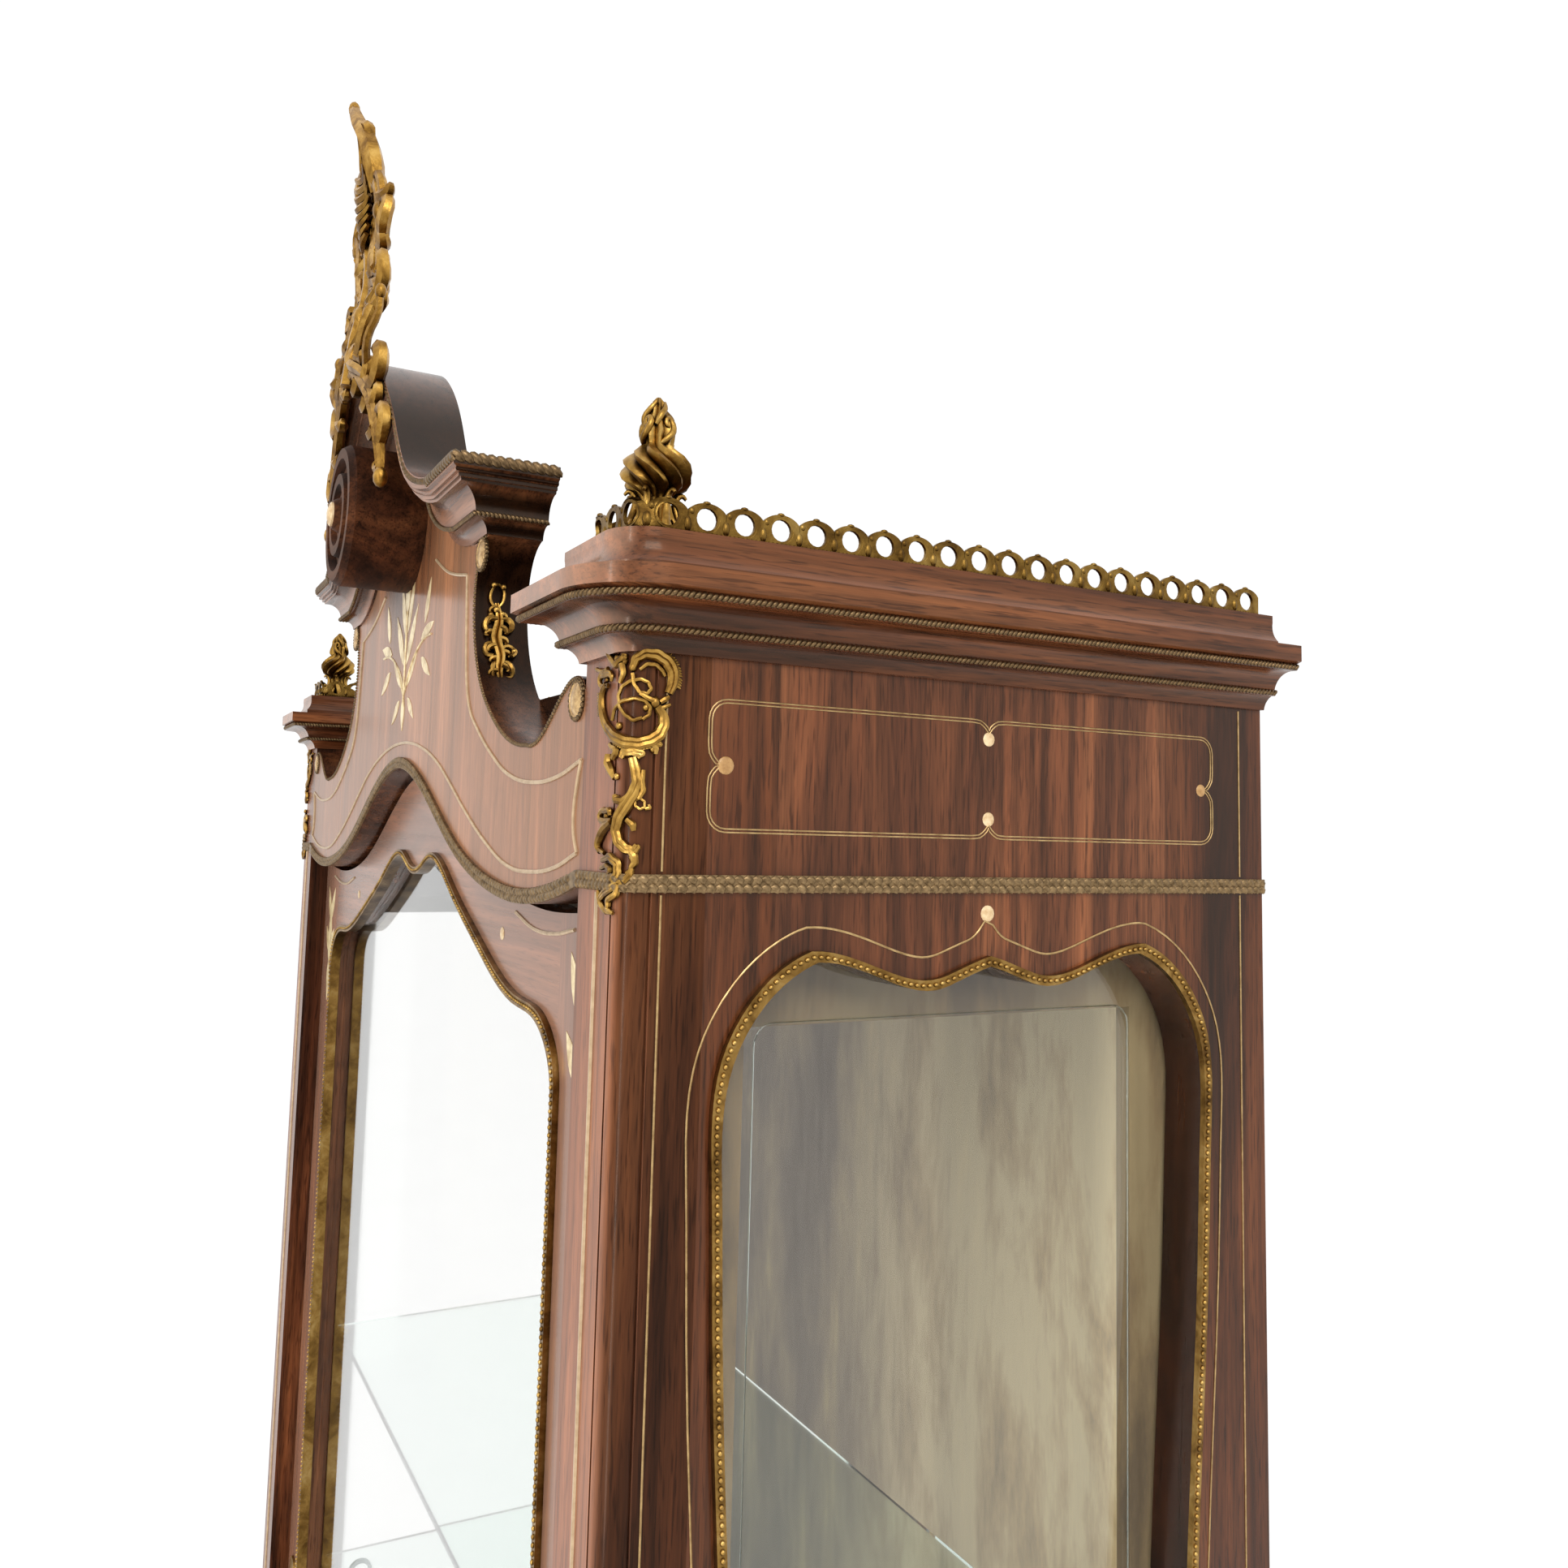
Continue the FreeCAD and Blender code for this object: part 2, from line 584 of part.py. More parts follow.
def gallery_block(inset, y_end, z0, height):
    # The plan of the cap's top, rounded at its outer front corner and drawn in by the inset.
    x0, x1, y0 = opening_half + inset, half_width - inset, front_y + inset
    turn = (corner_radius - inset) * math.sqrt(0.5)
    centre_x, centre_y = half_width - corner_radius, front_y + corner_radius
    runs = [[V(x0, y0, z0), V(centre_x, y0, z0)],
            [V(centre_x, y0, z0), V(centre_x + turn, centre_y - turn, z0), V(x1, centre_y, z0)],
            [V(x1, centre_y, z0), V(x1, y_end, z0)], [V(x1, y_end, z0), V(x0, y_end, z0)],
            [V(x0, y_end, z0), V(x0, y0, z0)]]
    return outline_face(runs).extrude(V(0, 0, height))


def gallery():
    # Pierced strip round the two long sides and the front of the cap.
    z0 = cornice_z + cornice_height + cap_height
    t = gallery_thickness
    inside = gallery_block(t, back_y + overrun, z0 - overrun, gallery_height + overrun + overrun)
    wall = gallery_block(0, back_y, z0, gallery_height).cut(inside)
    middle_z = z0 + gallery_height / 2
    count = int((body_depth - gallery_pitch) / gallery_pitch)
    holes = []
    for i in range(count):
        y = mid_y + (i - (count - 1) / 2) * gallery_pitch
        face = hexagon_face(V(opening_half - overrun, y, middle_z), V(0, 1, 0), V(0, 0, 1), gallery_hole)
        holes.append(face.extrude(V(post_width + overrun + overrun, 0, 0)))
    for side in (-1, 1):
        x = opening_half + post_width / 2 + side * gallery_pitch / 2
        face = hexagon_face(V(x, front_y - overrun, middle_z), V(1, 0, 0), V(0, 0, 1), gallery_hole)
        holes.append(face.extrude(V(0, t + overrun + overrun, 0)))
    return wall.cut(holes)


def finial():
    # Turned bulb on a flared foot, standing inside the front of the gallery.
    x = opening_half + post_width / 2
    y = front_y + finial_inset
    z = cornice_z + cornice_height + cap_height
    points = [V(x + u * finial_radius, y, z + v * finial_height) for u, v in finial_shares]
    face = Part.Face(Part.makePolygon(points + [points[0]]))
    return face.revolve(V(x, y, z), V(0, 0, 1), 360)


def post_band():
    return corner_strip(band_thickness, band_z, band_height, opening_half, back_y)


def metal_bands():
    # A band round each corner and side, and one along the apron's arched edge.
    right = post_band()
    low = arch_points(apron_shares, opening_half, 0)
    high = [(u, v + band_height) for u, v in reversed(low)]
    runs = closed_runs([low, [low[-1], high[0]], high], lambda u, v: V(u, front_y - band_thickness, v))
    return [right, mirrored(right), outline_face(runs).extrude(V(0, band_thickness, 0))]


def corner_mount():
    # Shaped mount that wraps the front corner under the cornice.
    foot = band_z - mount_drop
    shell = corner_strip(mount_thickness, foot, mount_height, half_width - mount_reach,
                         front_y + mount_reach)
    front = [V(half_width + (u - 1) * mount_reach, front_y - mount_thickness - overrun,
               foot + v * mount_height) for u, v in mount_front_shares]
    edge_x = half_width + mount_thickness + overrun
    far = [V(edge_x, front[-1].y, front[-1].z), V(edge_x, front[0].y, front[0].z)]
    runs = [front, [front[-1], far[0]], far, [far[1], front[0]]]
    reach = mount_thickness + overrun + corner_radius
    front_prism = outline_face(runs).extrude(V(0, reach, 0))
    side_x = half_width - corner_radius
    side = [V(side_x, front_y + u * mount_reach, foot + v * mount_height) for u, v in mount_side_shares]
    edge_y = front_y - mount_thickness - overrun
    far = [V(side_x, edge_y, side[-1].z), V(side_x, edge_y, side[0].z)]
    runs = [side, [side[-1], far[0]], far, [far[1], side[0]]]
    side_prism = outline_face(runs).extrude(V(reach, 0, 0))
    return shell.common(front_prism.fuse(side_prism)).cut(post_band())


def carcass_boards():
    back_front_y = back_y - back_thickness
    edge_y = post_back_y + board_setback
    tongue = block(-opening_half, opening_half, front_y + front_board_thickness, post_back_y,
                   cornice_z - board_thickness, cornice_z)
    top = block(-inner_half, inner_half, post_back_y, back_front_y, cornice_z - board_thickness, cornice_z)
    return {
        "bottom_board": block(-inner_half, inner_half, edge_y, back_front_y, base_z,
                              base_z + board_thickness),
        "display_floor": block(-inner_half, inner_half, edge_y, back_front_y, floor_z - board_thickness,
                               floor_z),
        "top_board": top.fuse(tongue).removeSplitter(),
        "back_panel": block(-inner_half, inner_half, back_front_y, back_y, base_z, cornice_z),
        "back_lining": block(-inner_half, inner_half, lining_y, back_front_y, floor_z,
                             cornice_z - board_thickness)}


def plinth():
    solid = rounded_block(-half_width, half_width, front_y, back_y, foot_height, plinth_shares,
                          plinth_overhang, plinth_height, True)
    hole = Part.makeCylinder(pivot_radius + bore_gap, pivot_hold + overrun,
                             V(pivot_x, pivot_y, base_z - pivot_hold))
    return solid.cut(hole)


def tapered_leg(level_shares, x, y, z0, height):
    # A four-sided leg whose width follows the shares from level to level.
    sections = []
    for width_share, rise_share in level_shares:
        half = foot_width * width_share / 2
        z = z0 + rise_share * height
        ring = [V(x - half, y - half, z), V(x + half, y - half, z), V(x + half, y + half, z),
                V(x - half, y + half, z)]
        sections.append(Part.makePolygon(ring + [ring[0]]))
    return Part.makeLoft(sections, True, True)


def feet():
    x = half_width - foot_inset - foot_width / 2
    front = front_y + foot_inset + foot_width / 2
    rear = back_y - foot_inset - foot_width / 2
    above = foot_height - sabot_height
    sabot = tapered_leg(sabot_level_shares, x, front, 0, sabot_height)
    export("foot_sabots", [sabot, mirrored(sabot)])
    export_pair("front_foot", tapered_leg(foot_level_shares, x, front, sabot_height, above))
    export_pair("rear_foot", tapered_leg(rear_foot_shares, x, rear, 0, foot_height))


def glass_face(y, grow):
    # The door's shaped glass opening, widened all round by the given amount.
    height = cornice_z - glass_drop - glass_foot_z
    half = glass_half + grow
    top = [(u * half, glass_foot_z + v * height + grow) for u, v in glass_top_shares]
    low = [(u * half, glass_foot_z + v * height - grow) for u, v in glass_foot_shares]
    return outline_face(closed_runs([top, [top[-1], low[0]], low], lambda u, v: V(u, y, v)))


def glass_prism(grow, y0, depth):
    return glass_face(y0, grow).extrude(V(0, depth, 0))


def keyhole(y0, depth):
    # A round hole with a slot below it for the key's bit.
    hole = Part.makeCylinder(key_radius + keyhole_gap, depth, V(key_x, y0, lock_z), V(0, 1, 0))
    half = key_bit_thickness / 2 + keyhole_gap
    drop = key_radius + key_bit_length + keyhole_gap
    return hole.fuse(block(key_x - half, key_x + half, y0, y0 + depth, lock_z - drop, lock_z))


def lock_box(grow):
    y0 = door_front_y + (door_thickness - lock_depth) / 2
    half = lock_height / 2
    return block(-door_half, lock_width - door_half + grow, y0, y0 + lock_depth, lock_z - half,
                 lock_z + half)


def bolt_block(shift, grow):
    y = door_front_y + door_thickness / 2
    half_y = bolt_depth / 2 + grow
    half_z = bolt_height / 2 + grow
    z = lock_z - bolt_drop
    x0 = part_gap - door_half - shift
    return block(x0 - grow, x0 + bolt_length + grow, y - half_y, y + half_y, z - half_z, z + half_z)


def bush(z):
    solid = Part.makeCylinder(bush_radius, bush_length, V(pivot_x, pivot_y, z))
    bore = Part.makeCylinder(pivot_radius + bore_gap, bush_length + overrun + overrun,
                             V(pivot_x, pivot_y, z - overrun))
    return solid.cut(bore)


def door_pieces():
    foot_z = base_z + door_gap
    top = arch_points(door_top_shares, door_half, door_top_gap)
    side = [top[-1], (door_half, foot_z)]
    low = [(door_half, foot_z), (0, foot_z)]
    slab = outline_face(closed_runs([top, side, low], lambda u, v: V(u, door_front_y, v)))
    slab = slab.extrude(V(0, door_thickness, 0))
    rebate_y = door_front_y + door_thickness - glass_set
    slab = slab.cut(glass_prism(0, door_front_y - overrun, door_thickness + overrun + overrun))
    slab = slab.cut(glass_prism(glass_rebate, rebate_y, glass_set + overrun))
    y0, y1 = door_front_y, door_front_y + door_thickness
    mid_z = glass_foot_z - mid_rail_height
    split_z = (glass_foot_z + cornice_z) / 2
    low_z = foot_z + bottom_rail_height
    line = door_stile_line
    right = slab.common(block(line, door_half, y0, y1, foot_z, cornice_z))
    left = mirrored(right)
    bush_top = apron_z - door_top_gap
    for z in (foot_z, bush_top - bush_length):
        right = right.cut(Part.makeCylinder(bush_radius, bush_length, V(pivot_x, pivot_y, z)))
    right = right.cut(Part.makeCylinder(pivot_radius + part_gap, bush_length + apron_dip,
                                        V(pivot_x, pivot_y, bush_top - bush_length)))
    left = left.cut(lock_box(0)).cut(keyhole(door_front_y - overrun, door_thickness / 2 + overrun))
    pieces = {
        "door_stile_right": right,
        "door_stile_left": left,
        "door_top_rail": slab.common(block(-line, line, y0, y1, split_z, cornice_z)),
        "door_mid_rail": slab.common(block(-line, line, y0, y1, mid_z, split_z)),
        "door_bottom_rail": slab.common(block(-line, line, y0, y1, foot_z, low_z)),
        "door_panel": door_panel(low_z, mid_z),
        "door_glass": glass_prism(glass_rebate - part_gap, rebate_y, door_glass_thickness)}
    moulding = glass_face(y0 - moulding_rise, 0).cut(glass_face(y0 - moulding_rise, -moulding_width))
    pieces["door_moulding"] = moulding.Faces[0].extrude(V(0, moulding_rise + moulding_width, 0))
    bead_y = rebate_y + door_glass_thickness
    ring = glass_face(bead_y, glass_rebate - part_gap).cut(glass_face(bead_y, 0))
    ring = ring.Faces[0].extrude(V(0, glass_set - door_glass_thickness, 0))
    reach = door_half
    beads = [ring.common(block(line, reach, y0, y1, foot_z, cornice_z)),
             ring.common(block(-reach, -line, y0, y1, foot_z, cornice_z)),
             ring.common(block(-line, line, y0, y1, split_z, cornice_z)),
             ring.common(block(-line, line, y0, y1, foot_z, split_z))]
    for name, solid in pieces.items():
        export(name, [solid])
    export("door_beads", beads)
    export("pivot_bushes", [bush(foot_z), bush(bush_top - bush_length)])


def door_panel(z0, z1):
    # Panel with a bevelled, raised field on its front.
    y0 = door_front_y + panel_set + panel_field_rise
    line = door_stile_line
    plate = block(-line, line, y0, y0 + panel_thickness, z0, z1)
    rings = []
    for inset, rise in ((0, 0), (panel_bevel, panel_field_rise)):
        x = line - inset
        ring = [V(-x, y0 - rise, z0 + inset), V(x, y0 - rise, z0 + inset), V(x, y0 - rise, z1 - inset),
                V(-x, y0 - rise, z1 - inset)]
        rings.append(Part.makePolygon(ring + [ring[0]]))
    return plate.fuse(Part.makeLoft(rings, True, True)).removeSplitter()


def pivot_pins():
    # Fixed pins in the plinth and the front board, on which the door's bushes turn.
    low = Part.makeCylinder(pivot_radius, pivot_hold + door_gap + bush_length,
                            V(pivot_x, pivot_y, base_z - pivot_hold))
    collar = Part.makeCylinder(collar_radius, door_gap - part_gap, V(pivot_x, pivot_y, base_z))
    foot = apron_z - door_top_gap - bush_length
    high = Part.makeCylinder(pivot_radius, band_z + pivot_hold - foot, V(pivot_x, pivot_y, foot))
    return [low.fuse(collar), high]


def lock_parts():
    case = lock_box(0)
    y0, y1 = case.BoundBox.YMin, case.BoundBox.YMax
    radius = key_radius + key_bit_length + keyhole_gap
    cavity = Part.makeCylinder(radius, lock_depth - lock_wall - lock_wall, V(key_x, y0 + lock_wall, lock_z),
                               V(0, 1, 0))
    channel = bolt_block(0, part_gap)
    case = case.cut([cavity, channel, keyhole(y0 - overrun, lock_wall + overrun + overrun)])
    export("lock_case", [case])
    export("lock_bolt", [bolt_block(0, 0)])
    tip_y = y1 - lock_wall - part_gap
    stem = Part.makeCylinder(key_radius, key_length, V(key_x, tip_y - key_length, lock_z), V(0, 1, 0))
    half = key_bit_thickness / 2
    drop = key_radius + key_bit_length
    bit = block(key_x - half, key_x + half, tip_y - key_bit_width, tip_y, lock_z - drop, lock_z)
    bow_y = tip_y - key_length - key_bow_radius + key_bow_thickness / 2
    bow_start = V(key_x - key_bow_thickness / 2, bow_y, lock_z)
    bow = Part.makeCylinder(key_bow_radius, key_bow_thickness, bow_start, V(1, 0, 0))
    eye_radius = key_bow_radius - key_bow_thickness
    bow = bow.cut(Part.makeCylinder(eye_radius, key_bow_thickness, bow_start, V(1, 0, 0)))
    collar_y = door_front_y - escutcheon_thickness - key_collar_gap - key_collar_length
    collar = Part.makeCylinder(key_radius + key_collar_rise, key_collar_length,
                               V(key_x, collar_y, lock_z), V(0, 1, 0))
    export("key", [stem.fuse([bit, bow, collar])])
    plate = [(u * escutcheon_width, lock_z - escutcheon_drop + v * escutcheon_height)
             for u, v in escutcheon_shares]
    place = lambda u, v: V(key_x + u, door_front_y - escutcheon_thickness, v)
    face = outline_face(closed_runs([plate], place))
    shield = face.extrude(V(0, escutcheon_thickness, 0))
    hole = keyhole(door_front_y - escutcheon_thickness - overrun, escutcheon_thickness + overrun + overrun)
    export("escutcheon", [shield.cut(hole)])


def strike_box(grow):
    y = door_front_y + door_thickness / 2
    z = lock_z - bolt_drop
    half_y, half_z = strike_width / 2 + grow, strike_height / 2 + grow
    return block(-opening_half - strike_thickness, -opening_half, y - half_y, y + half_y, z - half_z,
                 z + half_z)


def posts():
    right = front_post()
    pocket = bolt_block(bolt_travel + strike_thickness, part_gap)
    export("front_post_right", [right])
    export("front_post_left", [mirrored(right).cut([strike_box(0), pocket])])
    export("strike_plate", [strike_box(0).cut(pocket)])


def sides():
    for name, solid in side_pieces().items():
        export_pair(name, solid)
    export_pair("window_moulding", window_moulding())
    export_pair("side_glass", side_glass())
    export("glazing_strips", glazing_strips())


def tops():
    export_pair("side_cornice", side_cornice())
    export_pair("gallery", gallery())
    export_pair("finial", finial())
    export_pair("corner_mount", corner_mount())
    export("metal_bands", metal_bands())


def front():
    board = front_board()
    pin_hole = Part.makeCylinder(pivot_radius + bore_gap, apron_dip + pivot_hold,
                                 V(pivot_x, pivot_y, apron_z))
    export("front_board", [board.cut(pin_hole)])
    export("hood", [hood()])
    export("boss", [boss()])
    export("crest", [crest()])
    export("pediment_trim", pediment_trim(board))


def main():
    posts()
    sides()
    tops()
    front()
    feet()
    export("plinth", [plinth()])
    for name, solid in carcass_boards().items():
        export(name, [solid])
    for name, share in zip(("shelf_lower", "shelf_upper"), shelf_rise_shares):
        export(name, [shelf(floor_z + share * window_height)])
    export("shelf_pins", shelf_pins())
    door_pieces()
    lock_parts()
    export("pivot_pins", pivot_pins())


main()
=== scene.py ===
import bpy
import math
from mathutils import Matrix, Vector


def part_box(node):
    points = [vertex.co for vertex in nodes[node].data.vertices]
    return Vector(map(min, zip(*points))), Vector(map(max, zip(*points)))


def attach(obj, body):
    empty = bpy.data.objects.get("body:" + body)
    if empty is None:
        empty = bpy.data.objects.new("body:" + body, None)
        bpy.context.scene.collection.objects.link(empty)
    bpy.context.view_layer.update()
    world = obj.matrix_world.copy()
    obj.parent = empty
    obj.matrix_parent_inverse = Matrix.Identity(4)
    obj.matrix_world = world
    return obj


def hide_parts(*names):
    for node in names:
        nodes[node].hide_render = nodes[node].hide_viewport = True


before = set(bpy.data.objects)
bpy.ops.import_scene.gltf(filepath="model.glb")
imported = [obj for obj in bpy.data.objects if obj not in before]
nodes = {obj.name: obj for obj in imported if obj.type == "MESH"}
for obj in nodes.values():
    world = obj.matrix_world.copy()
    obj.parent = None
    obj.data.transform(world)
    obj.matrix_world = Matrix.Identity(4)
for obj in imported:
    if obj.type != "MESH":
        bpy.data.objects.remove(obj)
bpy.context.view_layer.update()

# where the main pieces stand, read from the frame
postLow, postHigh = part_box("front_post_right")
bandLow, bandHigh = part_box("metal_bands")
boardLow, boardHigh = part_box("front_board")
hoodLow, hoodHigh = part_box("hood")
halfWidth, openingHalf = postHigh.x, postLow.x
frontY, backY = postLow.y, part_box("side_rear_stile_right")[1].y
midY = (frontY + backY) / 2
corniceZ, capTopZ = postHigh.z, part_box("gallery_right")[0].z
columnRadius = 0.014
quarter = math.pi / 2
toFront, toSide, zero = Vector((0, -1, 0)), Vector((1, 0, 0)), Vector((0, 0, 0))
offFace, tiny = 2e-5, 1e-9  # how far a corner may lie off a flat face, and what counts as nothing
print("cabinet: frame loaded,", len(nodes), "nodes")


def pickNone():
    bpy.ops.object.select_all(action="DESELECT")


def pick(obj):
    pickNone()
    obj.select_set(True)
    bpy.context.view_layer.objects.active = obj


def settle():
    # the picked object goes to the origin, and its place into its mesh
    bpy.ops.object.transform_apply(location=True, rotation=True, scale=True)
    return bpy.context.object


def copyOf(obj, name):
    pick(obj)
    bpy.ops.object.duplicate()
    twin = bpy.context.object
    twin.name = name
    return twin


def discard(*objs):
    for obj in objs:
        bpy.data.objects.remove(obj)


def openMesh():
    bpy.ops.object.mode_set(mode="EDIT")
    bpy.ops.mesh.select_all(action="SELECT")


def closeMesh():
    # with its faces turned outwards
    bpy.ops.mesh.select_all(action="SELECT")
    bpy.ops.mesh.normals_make_consistent(inside=False)
    bpy.ops.object.mode_set(mode="OBJECT")


def plane(u, v, n, origin):
    columns = [Vector(u).to_4d(), Vector(v).to_4d(), Vector(n).to_4d(), Vector(origin).to_4d()]
    for column in columns[:3]:
        column.w = 0
    return Matrix(columns).transposed()


def sidePlane(x):
    return plane((0, 1, 0), (0, 0, 1), (1, 0, 0), (x, 0, 0))


def frontPlane(y):
    return plane((1, 0, 0), (0, 0, 1), (0, -1, 0), (0, y, 0))


def levelPlane(z):
    return plane((1, 0, 0), (0, 1, 0), (0, 0, 1), (0, 0, z))


def joined(name, parts):
    pick(parts[0])
    for part in parts[1:]:
        part.select_set(True)
    if len(parts) > 1:
        bpy.ops.object.join()
    parts[0].name = name
    return parts[0]


def mirroredCopy(obj, name):
    twin = copyOf(obj, name)
    twin.scale.x = -1
    settle()
    openMesh()
    bpy.ops.mesh.flip_normals()
    bpy.ops.object.mode_set(mode="OBJECT")
    return twin


def dress(obj, material, body, angle=40):
    obj.data.materials.clear()
    obj.data.materials.append(material)
    pick(obj)
    bpy.ops.object.shade_smooth_by_angle(angle=math.radians(angle))
    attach(obj, body)
    return obj


def dressPair(obj, material, replaced=None, angle=40):
    # the right-hand piece and its twin on the left, both on the cabinet
    stem = obj.name
    twin = mirroredCopy(obj, stem + "Left")
    obj.name = stem + "Right"
    for piece, side in ((obj, "right"), (twin, "left")):
        dress(piece, material, "cabinet", angle)
        if replaced:
            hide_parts(replaced + "_" + side)
    return obj, twin


def faceLoops(nodeName, axis, side):
    # ordered outlines of the flat face that ends a frame piece on one side
    mesh = nodes[nodeName].data
    low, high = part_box(nodeName)
    level = high[axis] if side > 0 else low[axis]
    spots = [tuple(round(c, 5) for c in v.co) for v in mesh.vertices]
    uses = {}
    for face in mesh.polygons:
        ring = [spots[i] for i in face.vertices]
        if max(abs(spot[axis] - level) for spot in ring) > offFace:
            continue
        for a, b in zip(ring, ring[1:] + ring[:1]):
            edge = frozenset((a, b))
            uses[edge] = uses.get(edge, 0) + 1
    links = {}
    for edge, count in uses.items():
        if count == 1 and len(edge) == 2:
            a, b = edge
            links.setdefault(a, []).append(b)
            links.setdefault(b, []).append(a)
    loops = []
    while links:
        start = min(links)
        walk, here = [start], start
        while links.get(here):
            onward = links[here].pop()
            links[onward].remove(here)
            walk.append(onward)
            here = onward
        links = {spot: others for spot, others in links.items() if others}
        loops.append([Vector(spot) for spot in (walk[:-1] if walk[-1] == start else walk)])
    return sorted(loops, key=lambda loop: -pathLength(loop, True))


def pathLength(points, closed):
    ends = points[1:] + points[:1] if closed else points[1:]
    return sum((b - a).length for a, b in zip(points, ends))


def evenly(points, step, closed=False):
    # the same path with points at even steps
    ring = points + points[:1] if closed else points
    count = max(2, round(pathLength(points, closed) / step))
    gap = pathLength(points, closed) / count
    out, run, wanted = [ring[0].copy()], 0.0, gap
    for a, b in zip(ring, ring[1:]):
        span = (b - a).length
        while span > tiny and run + span >= wanted - tiny and len(out) <= count:
            out.append(a.lerp(b, (wanted - run) / span))
            wanted += gap
        run += span
    return out[:count] if closed else out


def shifted(points, normal, distance, closed=False):
    # a flat path moved sideways within its plane
    out, last = [], len(points) - 1
    for i, point in enumerate(points):
        before = points[i - 1] if i or closed else points[i]
        after = points[(i + 1) % len(points)] if i < last or closed else points[i]
        way = (after - before).normalized()
        out.append(point + way.cross(normal).normalized() * distance)
    return out


def turnedOut(points, normal):
    # a closed path, put in the order that makes a positive shift go outwards
    area = Vector((0, 0, 0))
    for a, b in zip(points, points[1:] + points[:1]):
        area += a.cross(b)
    return points if area.dot(normal) > 0 else points[::-1]


def arc(centre, radius, start, end, count):
    return [centre + Vector((math.cos(a), math.sin(a), 0)) * radius
            for a in (math.radians(start + (end - start) * i / count) for i in range(count + 1))]


def newCurve(name, **settings):
    curve = bpy.data.curves.new(name, "CURVE")
    for key, value in settings.items():
        setattr(curve, key, value)
    return curve


def addLine(curve, points, closed=True):
    spline = curve.splines.new("POLY")
    spline.points.add(len(points) - 1)
    for spot, point in zip(spline.points, points):
        spot.co = (*point, 1)
    spline.use_cyclic_u = closed


def linked(name, data):
    obj = bpy.data.objects.new(name, data)
    bpy.context.scene.collection.objects.link(obj)
    return obj


def meshed(name, curve):
    pick(linked(name, curve))
    bpy.ops.object.convert(target="MESH")
    return bpy.context.object


def ringOf(centre, radius, count):
    return arc(centre, radius, 0, 360 - 360 / count, count - 1)


def tube(name, runs, width, closed=False):
    # a thin round line along each run of points
    curve = newCurve(name, dimensions="3D", bevel_depth=width / 2, bevel_resolution=1, use_fill_caps=True)
    for points in runs:
        addLine(curve, points, closed)
    return meshed(name, curve)


def plate(name, outlines, half):
    # a flat plate cut to its outlines, the inner ones as holes
    curve = newCurve(name, dimensions="2D", fill_mode="BOTH", extrude=half)
    for points in outlines:
        addLine(curve, points)
    return meshed(name, curve)


def strokes(name, runs, fineness, sides):
    # swelling and tapering scrolls: each run is a list of (point, half thickness)
    curve = newCurve(name, dimensions="3D", bevel_depth=1.0, bevel_resolution=sides, use_fill_caps=True,
                     resolution_u=fineness)
    for run in runs:
        spline = curve.splines.new("BEZIER")
        spline.bezier_points.add(len(run) - 1)
        for spot, (point, half) in zip(spline.bezier_points, run):
            spot.co, spot.radius = point, half
            spot.handle_left_type = spot.handle_right_type = "AUTO"
    return meshed(name, curve)


def runAlong(name, unit, points, base, pitch, closed=False):
    # one modelled unit repeated along a flat path by an array and a curve modifier
    curve, flat = newCurve(name + "Path", dimensions="2D"), base.inverted()
    addLine(curve, [(flat @ point).xy.to_3d() for point in points], closed)
    path = linked(name + "Path", curve)
    path.matrix_world = base
    length = pathLength(points, closed)
    count = max(1, round(length / pitch))
    gap = length / count
    row = copyOf(unit, name)
    row.data.transform(Matrix.Translation((gap / 2, 0, 0)))
    row.matrix_world = base
    repeat = row.modifiers.new("repeat", "ARRAY")
    repeat.count, repeat.use_relative_offset, repeat.use_constant_offset = count, False, True
    repeat.constant_offset_displace = (gap, 0, 0)
    follow = row.modifiers.new("follow", "CURVE")
    follow.object, follow.deform_axis = path, "POS_X"
    bpy.context.view_layer.update()
    for modifier in ("repeat", "follow"):
        bpy.ops.object.modifier_apply(modifier=modifier)
    settle()
    discard(path)
    return row


def fill(tree, node, sockets):
    # each socket takes a link or a plain value
    for name, value in sockets.items():
        if isinstance(value, bpy.types.NodeSocket):
            tree.links.new(value, node.inputs[name])
        else:
            node.inputs[name].default_value = value


def wired(tree, kind, outlet, sockets, **settings):
    node = tree.nodes.new("ShaderNode" + kind)
    for key, value in settings.items():
        setattr(node, key, value)
    fill(tree, node, sockets)
    return node.outputs[outlet]


def noise(tree, vector, scale, detail=4, rough=0.55, distortion=0.0):
    return wired(tree, "TexNoise", "Fac", {"Vector": vector, "Scale": scale, "Detail": detail,
                                           "Roughness": rough, "Distortion": distortion})


def mapped(tree, vector, scale=(1, 1, 1), turn=(0, 0, 0)):
    return wired(tree, "Mapping", "Vector", {"Vector": vector, "Scale": scale, "Rotation": turn})


def drawn(tree, vector, scale, *values):
    # noise drawn out along an axis
    return noise(tree, mapped(tree, vector, scale), *values)


def ramp(tree, value, stops):
    node = tree.nodes.new("ShaderNodeValToRGB")
    ends = node.color_ramp.elements
    while len(ends) < len(stops):
        ends.new(0.5)
    for end, (place, colour) in zip(ends, stops):
        end.position, end.color = place, (*colour, 1)
    tree.links.new(value, node.inputs["Fac"])
    return node.outputs["Color"]


def mixed(tree, kind, amount, a, b):
    return wired(tree, "Mix", 2, {0: amount, 6: a, 7: b}, data_type="RGBA", blend_type=kind)


def times(tree, tone, colour):
    return mixed(tree, "MULTIPLY", 1.0, tone, (*colour, 1))


def stretched(tree, value, low, high):
    return wired(tree, "MapRange", "Result", {"Value": value, "To Min": low, "To Max": high})


